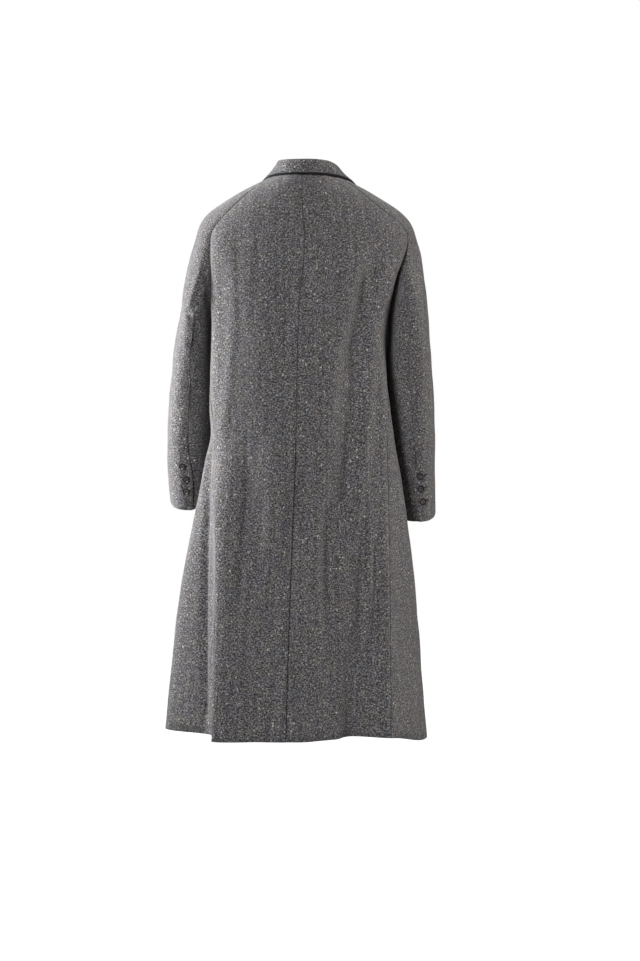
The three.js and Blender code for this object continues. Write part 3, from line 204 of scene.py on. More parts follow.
class Finish:
    """A material under construction."""

    def __init__(self, name):
        self.data = bpy.data.materials.new(name)
        self.data.use_nodes = True
        self.tree = self.data.node_tree
        self.shader = self.tree.nodes["Principled BSDF"]

    def connect(self, value, socket):
        if isinstance(value, Value):
            self.tree.links.new(value.socket, socket)
        elif isinstance(value, (tuple, list)) and len(value) == 3 and len(socket.default_value) == 4:
            socket.default_value = (*value, 1)
        else:
            socket.default_value = value

    def node(self, kind, settings, inputs, output=0):
        made = self.tree.nodes.new(kind)
        for key, setting in settings.items():
            if key == "stops":
                ramp = made.color_ramp
                while len(ramp.elements) < len(setting):
                    ramp.elements.new(1)
                for element, (place, colour) in zip(ramp.elements, setting):
                    element.position = place
                    element.color = (*colour, 1)
            else:
                setattr(made, key, setting)
        for key, value in inputs.items():
            self.connect(value, made.inputs[key])
        return Value(self, made.outputs[output])

    def mix(self, share, first, second, blend="MIX"):
        made = self.tree.nodes.new("ShaderNodeMix")
        made.data_type = "RGBA"
        made.blend_type = blend
        self.connect(share, made.inputs[0])
        self.connect(first, made.inputs[6])
        self.connect(second, made.inputs[7])
        return Value(self, made.outputs[2])

    def attribute(self, name):
        return self.node("ShaderNodeAttribute", {"attribute_name": name}, {}, "Fac")

    def noise(self, place, scale, detail, roughness):
        return self.node(
            "ShaderNodeTexNoise",
            {"noise_dimensions": "3D"},
            {"Vector": place, "Scale": scale, "Detail": detail, "Roughness": roughness},
        )

    def stretched(self, place, amounts, turn=(0, 0, 0)):
        inputs = {"Vector": place, "Rotation": turn, "Scale": amounts}
        return self.node("ShaderNodeMapping", {"vector_type": "POINT"}, inputs)

    def finish(self, base, roughness, height=None, strength=0, distance=0):
        self.connect(base, self.shader.inputs["Base Color"])
        self.connect(roughness, self.shader.inputs["Roughness"])
        if height is not None:
            bump = self.node(
                "ShaderNodeBump", {}, {"Height": height, "Strength": strength, "Distance": distance}
            )
            self.connect(bump, self.shader.inputs["Normal"])
        return self.data


# %% [markdown]
# Flecked tweed is woven from yarns that are spun of dark and pale wool together, so it looks
# like salt and pepper, and little knots of coloured wool, the neps, are spun in. The yarn is about
# 1.2 mm thick. Five things make it here: a fine mottle along and across the cloth, cloudy patches
# that are warmer or cooler, faint streaks along the warp, neps of cream, tan and blue that differ
# in size and strength, and a bump of the yarns. The pattern lies in the flattened cloth, in metres,
# so that it follows each piece as it was cut. Painted shade is added on top: a thin dark line along
# each sewn seam, the shadow in its valley, and a faint dark row at the hem, the shade in the dimples
# where its stitches pull.

# %% Tweed
WARP_YARNS = (480, 240, 1)
WEFT_YARNS = (230, 460, 1)
WARP_STREAKS = (130, 5, 1)
# How far from a seam its painted shadow line reaches before it fades out, in metres.
SEAM_SHADOW_REACH = (0.0001, 0.0013)
HEM_DEPTH = 0.040
HEM_DIMPLE = (0.0003, 0.0018)
tweed = Finish("tweed")
cloth = tweed.node("ShaderNodeUVMap", {"uv_map": "cut_cloth"}, {})
from_seam = tweed.attribute("from_seam")
from_hem = tweed.attribute("from_hem")
warp = tweed.noise(tweed.stretched(cloth, WARP_YARNS), scale=1.0, detail=1.0, roughness=0.6)
weft = tweed.noise(tweed.stretched(cloth, WEFT_YARNS), scale=1.0, detail=1.0, roughness=0.6)
grain = (warp + weft) * 0.5
patches = tweed.noise(cloth, scale=36.0, detail=3.0, roughness=0.55)
turned_cloth = tweed.stretched(cloth, (1, 1, 1), turn=(0, 0, 0.5))
clouds = tweed.noise(turned_cloth, scale=75.0, detail=2.0, roughness=0.5)
streaks = tweed.noise(tweed.stretched(cloth, WARP_STREAKS), scale=1.0, detail=2.0, roughness=0.5)
shade = tweed.node(
    "ShaderNodeValToRGB",
    {
        "stops": [
            (0.36, (0.018, 0.0175, 0.020)),
            (0.44, (0.045, 0.044, 0.048)),
            (0.50, (0.092, 0.090, 0.094)),
            (0.56, (0.165, 0.161, 0.162)),
            (0.64, (0.330, 0.322, 0.314)),
        ]
    },
    {"Fac": grain + (clouds - 0.5) * 0.13 + (streaks - 0.5) * 0.10 - 0.008},
)
tint = tweed.mix(patches.step(0.40, 0.60), (0.975, 0.965, 1.01), (1.03, 0.99, 0.95))
ground = tweed.mix(1.0, shade, tint, "MULTIPLY")


def neps(stretch, turn, per_metre, size, share):
    """Small knots of wool in a share of the cells, each with its own size and strength."""
    cells = tweed.tree.nodes.new("ShaderNodeTexVoronoi")
    cells.voronoi_dimensions = "2D"
    tweed.connect(tweed.stretched(cloth, stretch, (0, 0, turn)), cells.inputs["Vector"])
    cells.inputs["Scale"].default_value = per_metre
    near = Value(tweed, cells.outputs["Distance"])
    draw = Value(tweed, cells.outputs["Color"])
    chance, strength, width = [
        tweed.node("ShaderNodeSeparateColor", {}, {0: draw}, k) for k in range(3)
    ]
    chosen = 1 - chance.step(share, share + 0.01)
    reach = near.over(width * 0.9 + 0.45)
    return (1 - reach.step(size * 0.5, size)) * chosen * (strength * 0.75 + 0.25)


cream = neps(stretch=(1.0, 0.8, 1), turn=0, per_metre=170.0, size=0.27, share=0.075)
grey = neps(stretch=(1.0, 1.3, 1), turn=0.4, per_metre=260.0, size=0.33, share=0.17)
tan = neps(stretch=(1, 1, 1), turn=0.7, per_metre=130.0, size=0.20, share=0.05)
blue = neps(stretch=(1, 1, 1), turn=1.9, per_metre=140.0, size=0.22, share=0.05)
flecked = tweed.mix(grey * 0.55, ground, (0.30, 0.29, 0.275))
flecked = tweed.mix(cream * 0.95, flecked, (0.56, 0.54, 0.47))
flecked = tweed.mix(tan * 0.75, flecked, (0.25, 0.165, 0.10))
flecked = tweed.mix(blue * 0.65, flecked, (0.11, 0.135, 0.20))
# Painted shadow: a thin dark line along every seam, standing in for the shade that falls into its valley.
# The same mask also sinks the bump there.
seam_groove_and_shadow = 1 - from_seam.step(*SEAM_SHADOW_REACH)
# Painted shade: a faint dark row 40 mm above the hem, where the dimples that the stitches pull would hold
# shade. The same mask also sinks the bump.
hem_line = (from_hem - HEM_DEPTH).math("ABSOLUTE")
hem_dimple = 1 - hem_line.step(*HEM_DIMPLE)
# The flecked cloth with painted shade mixed in: first the dark shadow lines of the seams, then the shade
# in the hem's stitch dimples.
tweed_with_painted_shade = tweed.mix(seam_groove_and_shadow * 0.62, flecked, (0.02, 0.02, 0.023))
tweed_with_painted_shade = tweed.mix(hem_dimple * 0.16, tweed_with_painted_shade, (0.03, 0.03, 0.033))
height = grain * 0.8 + cream * 0.5 - seam_groove_and_shadow * 0.8 - hem_dimple * 0.5
tweed.shader.inputs["Sheen Weight"].default_value = 0.2
tweed.shader.inputs["Sheen Roughness"].default_value = 0.6
tweed.shader.inputs["Specular IOR Level"].default_value = 0.12
tweed_material = tweed.finish(tweed_with_painted_shade, roughness=0.92, height=height, strength=0.4, distance=0.0006)

# %% Undercollar felt
felt = Finish("undercollar_felt")
felt_place = felt.node("ShaderNodeTexCoord", {}, {}, "Object")
fuzz = felt.noise(felt_place, scale=900.0, detail=3.0, roughness=0.7)
felt_shade = felt.mix(fuzz, (0.006, 0.0065, 0.008), (0.026, 0.027, 0.031))
felt.shader.inputs["Specular IOR Level"].default_value = 0.1
felt_material = felt.finish(felt_shade, roughness=0.95, height=fuzz, strength=0.4, distance=0.0004)

# %% Button horn
horn = Finish("dark_horn")
horn_place = horn.node("ShaderNodeTexCoord", {}, {}, "Object")
layers = horn.stretched(horn_place, (180, 60, 260))
streak = horn.noise(layers, scale=1.0, detail=3.0, roughness=0.6)
rim_shade = horn.mix(streak.step(0.35, 0.75), (0.010, 0.009, 0.009), (0.030, 0.027, 0.025))
# Painted highlight: the dished middle is coloured lighter than the rim to stand in for the light that the
# dish reflects. The rim keeps the horn's own dark colour.
painted_highlight_middle = horn.mix(streak.step(0.30, 0.70), (0.050, 0.046, 0.044), (0.150, 0.140, 0.132))
from_middle = horn.attribute("from_middle")
horn_shade = horn.mix(from_middle.step(0.52, 0.70), painted_highlight_middle, rim_shade)
horn_material = horn.finish(horn_shade, roughness=0.26)

# %% [markdown]
# Each cut piece starts as a copy of its solid wall. The copy's loose triangles are merged and made
# quads, and the rim is creased so that it stays put. An unwrap with least stretch lays the piece flat,
# as it lay when it was cut, and that flat pattern is turned upright and scaled to real metres for the
# weave. Then a Subdivision Surface rounds the cloth between the sections.

# %% Cloth pieces
MERGED_WITHIN = 0.00002
QUAD_BEND = math.radians(35)
QUAD_SKEW = math.radians(120)
RIM_ANGLE = math.radians(42)
SMOOTHNESS = 2
CLOTH = {
    "tweed": [
        "back_left", "back_right", "front_left", "front_right", "top_sleeve_left", "top_sleeve_right",
        "under_sleeve_left", "under_sleeve_right", "lapel_left", "lapel_right", "upper_collar",
    ],
    "felt": ["undercollar"],
}


def copied(name):
    solid = nodes[name]
    piece = solid.copy()
    piece.data = solid.data.copy()
    piece.name = f"{name}_cloth"
    piece.parent = None
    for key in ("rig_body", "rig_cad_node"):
        if key in piece:
            del piece[key]
    bpy.context.scene.collection.objects.link(piece)
    only(piece)
    bpy.ops.object.mode_set(mode="EDIT")
    bpy.ops.mesh.select_all(action="SELECT")
    bpy.ops.mesh.remove_doubles(threshold=MERGED_WITHIN)
    bpy.ops.mesh.tris_convert_to_quads(face_threshold=QUAD_BEND, shape_threshold=QUAD_SKEW)
    bpy.ops.mesh.select_mode(type="EDGE")
    bpy.ops.mesh.select_all(action="DESELECT")
    bpy.ops.mesh.edges_select_sharp(sharpness=RIM_ANGLE)
    bpy.ops.transform.edge_crease(value=1)
    bpy.ops.mesh.mark_seam(clear=False)
    bpy.ops.mesh.select_all(action="SELECT")
    bpy.ops.uv.unwrap(method="MINIMUM_STRETCH", margin=0.002, iterations=40)
    bpy.ops.object.mode_set(mode="OBJECT")
    return piece


def islands(mesh, seams_of):
    """The faces that hang together without crossing a seam of the unwrap."""
    owner = list(range(len(mesh.polygons)))

    def root(k):
        while owner[k] != k:
            owner[k] = owner[owner[k]]
            k = owner[k]
        return k

    first = {}
    for face in mesh.polygons:
        for edge in face.edge_keys:
            other = first.setdefault(edge, face.index)
            if other != face.index and not seams_of[edge]:
                owner[root(face.index)] = root(other)
    groups = {}
    for face in mesh.polygons:
        groups.setdefault(root(face.index), []).append(face)
    return sorted(groups.values(), key=lambda faces: -sum(f.area for f in faces))


def laid_upright(piece):
    """Turns and scales each island to real metres, length along V. Returns the largest one's size."""
    mesh = piece.data
    seams_of = {edge.key: edge.use_seam for edge in mesh.edges}
    layer = mesh.uv_layers.active
    layer.name = "cut_cloth"
    largest = None
    for faces in islands(mesh, seams_of):
        flat_area, real_area, up = 0.0, 0.0, Vector((0, 0))
        for face in faces:
            loops = list(face.loop_indices)
            spots = [layer.data[k].uv.copy() for k in loops]
            corners = [mesh.vertices[mesh.loops[k].vertex_index].co for k in loops]
            real_area += face.area
            for k in range(1, len(loops) - 1):
                a, b = spots[k] - spots[0], spots[k + 1] - spots[0]
                rise = corners[k].z - corners[0].z, corners[k + 1].z - corners[0].z
                cross = a.x * b.y - a.y * b.x
                side = 1 if cross > 0 else -1
                flat_area += abs(cross) / 2
                up += Vector((rise[0] * b.y - rise[1] * a.y, rise[1] * a.x - rise[0] * b.x)) * side
        scale = math.sqrt(real_area / max(flat_area, 1e-12))
        turn = math.atan2(up.x, up.y)
        cos, sin = math.cos(turn) * scale, math.sin(turn) * scale
        used = [k for face in faces for k in face.loop_indices]
        for k in used:
            u, v = layer.data[k].uv
            layer.data[k].uv = (u * cos - v * sin, u * sin + v * cos)
        if largest is None:
            spots = np.array([layer.data[k].uv for k in used])
            largest = (*(spots.max(0) - spots.min(0)), real_area)
    return largest


pieces = {}
cut_sizes = {}
for slot_name, names in CLOTH.items():
    for name in names:
        piece = copied(name)
        cut_sizes[name] = laid_upright(piece)
        smooth = piece.modifiers.new("soft_cloth", "SUBSURF")
        smooth.levels = SMOOTHNESS
        smooth.render_levels = SMOOTHNESS
        only(piece)
        bpy.ops.object.modifier_apply(modifier="soft_cloth")
        bpy.ops.object.shade_smooth()
        piece.data.materials.clear()
        piece.data.materials.append(tweed_material if slot_name == "tweed" else felt_material)
        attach(piece, "root")
        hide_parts(name)
        pieces[name] = piece
        print(name, len(piece.data.polygons), [round(v, 3) for v in cut_sizes[name]])

# %% [markdown]
# Every piece knows how far each of its points is from the nearest sewn seam and from the hem. The
# finish reads those two distances to paint the shadow line along each seam and the shade in the hem's
# row of stitch dimples. Where two pieces only turn round each other, as the collar's layers and a lapel
# and its front do, there is no seam to draw. The seams are of three kinds. The sleeves' own ones are
# pressed so flat that they hardly show. Below the bars the centre-back seam and the elbow seams are
# open, and these vents show most, with the widest painted shadow.

# %% Distances from seams and hems
SEWN_WITHIN = 0.0016
NOT_NEAR = 1.0
STEP = 0.0006
CREASED = 0.9
TURNED = [{"upper_collar", "undercollar"}, {"lapel_left", "front_left"}, {"lapel_right", "front_right"}]
HEM_BELOW = {"body": -1.08, "sleeve": -0.62}
HEM_RISE = 0.6
# For each kind, farther shifts the painted shadow line. A vent's line is widest, where the lap's edge
# casts its shadow, and a quiet seam's line is narrowest. valley scales the real sunken valley.
SEAM_KINDS = {
    "sewn": {"farther": 0.0, "valley": 1.0},
    "quiet": {"farther": 0.0006, "valley": 0.35},
    "vent": {"farther": -0.0007, "valley": 1.8},
}
VENT_TOPS = {"back": -0.575, "sleeve_left": -0.570, "sleeve_right": -0.5815}


def tree_of(mesh):
    return BVHTree.FromPolygons([v.co for v in mesh.vertices], [p.vertices for p in mesh.polygons])


trees = {name: tree_of(nodes[name].data) for name in pieces}


def rim_edges(mesh):
    """The edges that stayed creased through the subdivision."""
    crease = mesh.attributes["crease_edge"]
    return [edge for edge in mesh.edges if crease.data[edge.index].value > CREASED]


def distance_map(mesh, edges):
    """How far each vertex is from the nearest of some edges."""
    points = []
    for edge in edges:
        a, b = (mesh.vertices[k].co for k in edge.vertices)
        count = max(1, int((b - a).length / STEP))
        points += [a.lerp(b, k / count) for k in range(count + 1)]
    if not points:
        return [NOT_NEAR] * len(mesh.vertices)
    tree = KDTree(len(points))
    for k, point in enumerate(points):
        tree.insert(point, k)
    tree.balance()
    return [tree.find(vertex.co)[2] for vertex in mesh.vertices]


def kind_of_seam(name, near, middle, centre_y):
    """Sewn, quiet, or the open edge of a vent."""
    together = {name, *near}
    if together == {"back_left", "back_right"}:
        return "vent" if middle.z < VENT_TOPS["back"] else "sewn"
    if not all("sleeve" in other for other in together):
        return "sewn"
    open_below = VENT_TOPS["sleeve_left" if name.endswith("left") else "sleeve_right"]
    return "vent" if middle.z < open_below and middle.y < centre_y else "quiet"


seam_distance = {}
seam_partner = {}
for name, piece in pieces.items():
    mesh = piece.data
    rim = rim_edges(mesh)
    seams = {kind: [] for kind in SEAM_KINDS}
    hem = []
    hem_below = HEM_BELOW["sleeve" if "sleeve" in name else "body"]
    others = [other for other in trees if other != name and {other, name} not in TURNED]
    centre_y = sum(vertex.co.y for vertex in mesh.vertices) / len(mesh.vertices)
    for edge in rim:
        start, end = (mesh.vertices[k].co for k in edge.vertices)
        middle = (start + end) / 2
        along = (end - start).normalized()
        near = [
            other for other in others if trees[other].find_nearest(middle, SEWN_WITHIN)[0] is not None
        ]
        if near:
            kind = kind_of_seam(name, near, middle, centre_y)
            seams[kind].append(edge)
            if kind != "vent":
                for vertex in edge.vertices:
                    seam_partner.setdefault(name, {})[vertex] = near[0]
        elif abs(along.z) < HEM_RISE and middle.z < hem_below:
            hem.append(edge)
    distances = {kind: np.array(distance_map(mesh, edges)) for kind, edges in seams.items()}
    seam_distance[name] = distances
    nearest_seam = np.minimum.reduce([distances[kind] + SEAM_KINDS[kind]["farther"] for kind in distances])
    for label, values in (("from_seam", nearest_seam), ("from_hem", distance_map(mesh, hem))):
        layer = mesh.attributes.new(label, "FLOAT", "POINT")
        layer.data.foreach_set("value", values)
    print(name, "rim", len(rim), {kind: len(edges) for kind, edges in seams.items()}, "hem", len(hem))

# %% [markdown]
# The solids stay a hair apart at every seam, and light would show through. Sewing pulls the cut edges
# together, so each point of a sewn rim that lies close to its partner moves a little more than halfway
# to it.

# %% Draw the seams together
DRAWN_WITHIN = 0.0012
DRAWN_BY = 0.53
for name, partners in seam_partner.items():
    mesh = pieces[name].data
    moved = 0
    for vertex, other in partners.items():
        here = mesh.vertices[vertex].co
        spot, _, _, gap = trees[other].find_nearest(here, SEWN_WITHIN)
        if spot is not None and gap < DRAWN_WITHIN:
            mesh.vertices[vertex].co = here.lerp(spot, DRAWN_BY)
            moved += 1
    mesh.update()
    print(name, "drew", moved, "of", len(partners), "rim points together")

# %% [markdown]
# Heavy wool doesn't hang smooth. It breaks into soft creases where the body bends it, it is never
# quite even, and at a pressed seam it rolls down into a small valley. Each crease below is listed
# with the part of the coat and the side that it lies on, half its width and its depth in
# millimetres, and its way in metres across that side. A depth above 0 is a ridge. The cloth's two
# faces move together, straight out from the middle of the body or the arm, so that the wall keeps
# its thickness and pieces that meet at a seam stay together. Only the valley at a seam presses the
# two faces closer.

# %% Creases
CREASES = [
    ("body", "back", 13, -6.4, [(-0.103, -0.60), (-0.106, -0.66), (-0.116, -0.80), (-0.121, -0.89)]),
    ("body", "back", 12, -3.0, [(-0.110, -0.93), (-0.105, -1.00), (-0.101, -1.12)]),
    ("body", "back", 22, -9.0,
     [(0.056, -0.67), (0.058, -0.80), (0.060, -0.90), (0.064, -1.03), (0.057, -1.13)]),
    ("body", "back", 15, 2.2, [(0.030, -0.72), (0.031, -0.88), (0.034, -1.05)]),
    ("body", "back", 25, -11.0,
     [(0.142, -0.20), (0.126, -0.29), (0.114, -0.37), (0.111, -0.50), (0.100, -0.61), (0.089, -0.72)]),
    ("body", "back", 17, 2.6, [(0.100, -0.28), (0.084, -0.38), (0.080, -0.50), (0.070, -0.62)]),
    ("body", "back", 15, 2.4, [(0.152, -0.31), (0.144, -0.39), (0.140, -0.50), (0.129, -0.62)]),
    ("body", "back", 12, -6.0, [(0.128, -0.68), (0.123, -0.80), (0.118, -0.96)]),
    ("body", "back", 9, -4.8, [(0.152, -0.73), (0.150, -0.86), (0.145, -0.99)]),
    ("body", "back", 12, 1.6, [(0.137, -0.74), (0.135, -0.88), (0.130, -1.00)]),
    ("body", "back", 9, -1.8, [(-0.026, -0.15), (-0.028, -0.25), (-0.030, -0.35)]),
    ("body", "back", 10, -1.6, [(-0.086, -0.14), (-0.087, -0.27)]),
    ("body", "back", 18, 2.9, [(-0.139, -0.16), (-0.135, -0.31), (-0.145, -0.46), (-0.160, -0.58)]),
    ("body", "back", 10, -6.5, [(-0.180, -0.50), (-0.187, -0.64), (-0.192, -0.78), (-0.194, -0.92)]),
    ("body", "back", 10, -6.5, [(-0.194, -0.88), (-0.194, -1.00), (-0.192, -1.14)]),
    ("body", "back", 15, 2.2, [(-0.060, -0.66), (-0.066, -0.84), (-0.062, -1.00)]),
    ("body", "back", 14, -2.0, [(-0.050, -0.95), (-0.047, -1.12)]),
    ("body", "front", 16, -5.6, [(0.045, -0.68), (0.056, -0.90), (0.062, -1.12)]),
    ("body", "front", 12, -4.4, [(-0.092, -0.60), (-0.101, -0.82), (-0.106, -1.02)]),
    ("body", "front", 13, -4.8, [(0.104, -0.55), (0.118, -0.80), (0.121, -0.94)]),
    ("body", "front", 10, -3.2, [(-0.152, -0.70), (-0.160, -0.92)]),
    ("body", "front", 10, 2.9, [(0.140, -0.27), (0.096, -0.31), (0.052, -0.35)]),
    ("body", "front", 10, 2.6, [(-0.138, -0.28), (-0.088, -0.33), (-0.036, -0.37)]),
    ("body", "left", 14, -4.8, [(0.010, -0.66), (0.024, -0.94)]),
    ("body", "left", 14, -5.6, [(0.064, -0.80), (0.074, -1.11)]),
    ("body", "right", 14, -4.8, [(0.020, -0.70), (0.032, -1.00)]),
    ("body", "right", 12, -4.0, [(-0.034, -0.86), (-0.022, -1.12)]),
    ("sleeve_left", "back", 8, -5.0, [(-0.197, -0.18), (-0.189, -0.25), (-0.184, -0.31)]),
    ("sleeve_left", "back", 10, -5.6, [(-0.232, -0.285), (-0.218, -0.315), (-0.200, -0.345)]),
    ("sleeve_left", "back", 11, 3.5, [(-0.243, -0.33), (-0.226, -0.375), (-0.204, -0.40)]),
    ("sleeve_left", "back", 10, -3.6, [(-0.256, -0.41), (-0.232, -0.435), (-0.205, -0.43)]),
    ("sleeve_left", "back", 12, -3.6, [(-0.262, -0.505), (-0.236, -0.485), (-0.208, -0.49)]),
    ("sleeve_left", "front", 10, -6.0, [(-0.247, -0.355), (-0.216, -0.385), (-0.190, -0.380)]),
    ("sleeve_left", "front", 10, -6.8, [(-0.252, -0.415), (-0.221, -0.440), (-0.195, -0.435)]),
    ("sleeve_left", "front", 9, -4.8, [(-0.256, -0.480), (-0.222, -0.500), (-0.200, -0.490)]),
    ("sleeve_left", "right", 36, 3.4, [(0.008, -0.43), (0.018, -0.52), (0.026, -0.62)]),
    ("sleeve_right", "back", 10, -4.8, [(0.182, -0.385), (0.202, -0.408), (0.224, -0.415)]),
    ("sleeve_right", "back", 11, 2.9, [(0.190, -0.345), (0.212, -0.365), (0.236, -0.365)]),
    ("sleeve_right", "back", 12, -3.2, [(0.200, -0.480), (0.226, -0.466), (0.252, -0.475)]),
    ("sleeve_right", "back", 10, -2.8, [(0.206, -0.545), (0.230, -0.530), (0.256, -0.540)]),
    ("sleeve_right", "front", 10, -6.4, [(0.250, -0.350), (0.222, -0.375), (0.194, -0.372)]),
    ("sleeve_right", "front", 10, -5.6, [(0.256, -0.425), (0.224, -0.452), (0.200, -0.440)]),
    ("sleeve_right", "front", 9, -4.4, [(0.262, -0.500), (0.230, -0.515), (0.204, -0.505)]),
]
FADES_OVER = 0.045
LONGEST_FADE = 0.4
LEFT_AT_ENDS = 0.12
TURNS_ROUND = {"from": 0.1, "over": 0.3}
LEVELS = 24
LEVEL_BAND = 0.02
BODY_SQUEEZE = (0.55, 1.0)
UNEVEN = {"depth": 1.3, "size": 0.05}
SEAM_VALLEY = {"depth": 0.9, "reach": 0.0026, "inner_share": 0.5}
VIEWS = {"back": (0, (0, -1)), "front": (0, (0, 1)), "left": (1, (-1, 0)), "right": (1, (1, 0))}
PARTS = {
    "body": ["back_left", "back_right", "front_left", "front_right"],
    "sleeve_left": ["top_sleeve_left", "under_sleeve_left"],
    "sleeve_right": ["top_sleeve_right", "under_sleeve_right"],
}


def smoothstep(t):
    held = np.clip(t, 0, 1)
    return held * held * (3 - 2 * held)


def coordinates(mesh, of="co"):
    flat = np.empty(len(mesh.vertices) * 3)
    mesh.vertices.foreach_get(of, flat)
    return flat.reshape(-1, 3)


def middle_line(points, levels):
    """The middle of an arm, or of the body, at each level."""
    rows = []
    for level in levels:
        near = points[np.abs(points[:, 2] - level) < LEVEL_BAND]
        rows.append((near.max(0) + near.min(0))[:2] / 2)
    return np.array(rows)


def crease_lift(points, outward, view, half_width, depth, way):
    """How far one crease lifts each point: full on its way, and less towards its sides and ends."""
    across, facing = VIEWS[view]
    spots = points[:, [across, 2]]
    path = np.array(way)
    lengths = np.linalg.norm(np.diff(path, axis=0), axis=1)
    before = np.concatenate([[0], np.cumsum(lengths)])
    nearest = np.full(len(points), 1e9)
    reached = np.zeros(len(points))
    for k, length in enumerate(lengths):
        direction = (path[k + 1] - path[k]) / length
        t = np.clip((spots - path[k]) @ direction, 0, length)
        away = np.linalg.norm(spots - (path[k] + t[:, None] * direction), axis=1)
        closer = away < nearest
        nearest = np.where(closer, away, nearest)
        reached = np.where(closer, before[k] + t, reached)
    fades = min(FADES_OVER, before[-1] * LONGEST_FADE)
    ends = smoothstep(reached / fades) * smoothstep((before[-1] - reached) / fades)
    profile = np.clip(1 - (nearest / (half_width * MM)) ** 2, 0, 1) ** 2
    faces_us = outward @ np.array(facing)
    on_this_side = smoothstep((faces_us - TURNS_ROUND["from"]) / TURNS_ROUND["over"])
    return depth * MM * profile * (LEFT_AT_ENDS + (1 - LEFT_AT_ENDS) * ends) * on_this_side


for part, names in PARTS.items():
    everything = np.concatenate([coordinates(pieces[name].data) for name in names])
    levels = np.linspace(everything[:, 2].min(), everything[:, 2].max(), LEVELS)
    middles = middle_line(everything, levels)
    for name in names:
        mesh = pieces[name].data
        points = coordinates(mesh)
        axis = np.stack([np.interp(points[:, 2], levels, middles[:, k]) for k in (0, 1)], axis=1)
        outward = points[:, :2] - axis
        if part == "body":
            outward = outward * np.array(BODY_SQUEEZE)
        outward /= np.linalg.norm(outward, axis=1)[:, None]
        lift = np.zeros(len(points))
        for owner, view, half_width, depth, way in CREASES:
            if owner == part:
                lift += crease_lift(points, outward, view, half_width, depth, way)
        lift += [
            noise.noise(Vector(point) / UNEVEN["size"]) * UNEVEN["depth"] * MM for point in points
        ]
        valley = np.zeros(len(points))
        for kind, distance in seam_distance[name].items():
            bowl = np.exp(-((distance / SEAM_VALLEY["reach"]) ** 2))
            valley += SEAM_KINDS[kind]["valley"] * SEAM_VALLEY["depth"] * MM * bowl
        outer = (coordinates(mesh, "normal")[:, :2] * outward).sum(1) > 0
        lift -= np.where(outer, valley, -SEAM_VALLEY["inner_share"] * valley)
        points[:, :2] += outward * lift[:, None]
        mesh.vertices.foreach_set("co", points.ravel())
        mesh.update()
        print(name, "creased by", round(lift.min() / MM, 2), "to", round(lift.max() / MM, 2), "mm")

# %% [markdown]
# The buttons are turned from dark horn: a low round blank with a rolled rim, a dished middle and four
# holes. A maker turns one blank and drills it, so one button of each size is modelled here by insets,
# a bevel and a boolean cut, and the others are copies. Each is laid on the coat where the CAD model
# holds its plain button, square to the cloth. The steps of the turning are shares: an inset of the
# radius, and then a drop of the thickness. So are the holes' spread and size, of the radius.

# %% Button
BUTTONS = {"cuff": {"radius": 0.0070, "thick": 0.0032}, "front": {"radius": 0.0125, "thick": 0.0042}}
FACE_STEPS = [(0.10, 0), (0.16, 0.10), (0.16, 0.22), (0.10, 0.04)]
BACK_STEPS = [(0.24, 0.06)]
BUTTON_SIDES = 40
HOLE_SIDES = 12
RIM_BEVEL = 0.16
HOLE_SPREAD = 0.26
HOLE_SIZE = 0.085
SPIN_STEP = 17


def select_faces(piece, test):
    """Selects the faces that pass a test, and leaves the piece in edit mode."""
    bpy.ops.object.mode_set(mode="OBJECT")
    for face in piece.data.polygons:
        face.select = test(face)
    for edge in piece.data.edges:
        edge.select = False
    bpy.ops.object.mode_set(mode="EDIT")
    bpy.ops.mesh.select_mode(type="FACE")


def turn_steps(steps, radius, thick):
    """Insets and drops the selected face once for each step."""
    for inset, drop in steps:
        bpy.ops.mesh.inset(thickness=radius * inset)
        if drop:
            bpy.ops.transform.translate(value=(0, 0, -thick * drop))


def turned_button(name, radius, thick):
    deselect()
    bpy.ops.mesh.primitive_cylinder_add(
        vertices=BUTTON_SIDES, radius=radius, depth=thick, location=(0, 0, 0)
    )
    blank = bpy.context.active_object
    blank.name = name
    select_faces(blank, lambda face: face.normal.z > 0.9)
    turn_steps(FACE_STEPS, radius, thick)
    select_faces(blank, lambda face: face.normal.z < -0.9)
    turn_steps(BACK_STEPS, radius, thick)
    bpy.ops.object.mode_set(mode="OBJECT")
    rounding = blank.modifiers.new("rolled_rim", "BEVEL")
    rounding.width = thick * RIM_BEVEL
    rounding.segments = 3
    rounding.limit_method = "ANGLE"
    rounding.angle_limit = math.radians(40)
    only(blank)
    bpy.ops.object.modifier_apply(modifier="rolled_rim")
    deselect()
    for k in range(4):
        turn = math.radians(45 + 90 * k)
        spot = (radius * HOLE_SPREAD * math.cos(turn), radius * HOLE_SPREAD * math.sin(turn), 0)
        bpy.ops.mesh.primitive_cylinder_add(
            vertices=HOLE_SIDES, radius=radius * HOLE_SIZE, depth=thick * 3, location=spot
        )
        drill = bpy.context.active_object
        drilled = blank.modifiers.new("drilled", "BOOLEAN")
        drilled.operation = "DIFFERENCE"
        drilled.solver = "EXACT"
        drilled.object = drill
        only(blank)
        bpy.ops.object.modifier_apply(modifier="drilled")
        bpy.data.objects.remove(drill)
    bpy.ops.object.shade_smooth_by_angle(angle=math.radians(35))
    # How far each point lies from the middle, as a share of the radius. The horn reads it to paint the
    # highlight in the dish.
    shares = [math.hypot(vertex.co.x, vertex.co.y) / radius for vertex in blank.data.vertices]
    blank.data.attributes.new("from_middle", "FLOAT", "POINT").data.foreach_set("value", shares)
    print(name, "faces", len(blank.data.polygons))
    return blank


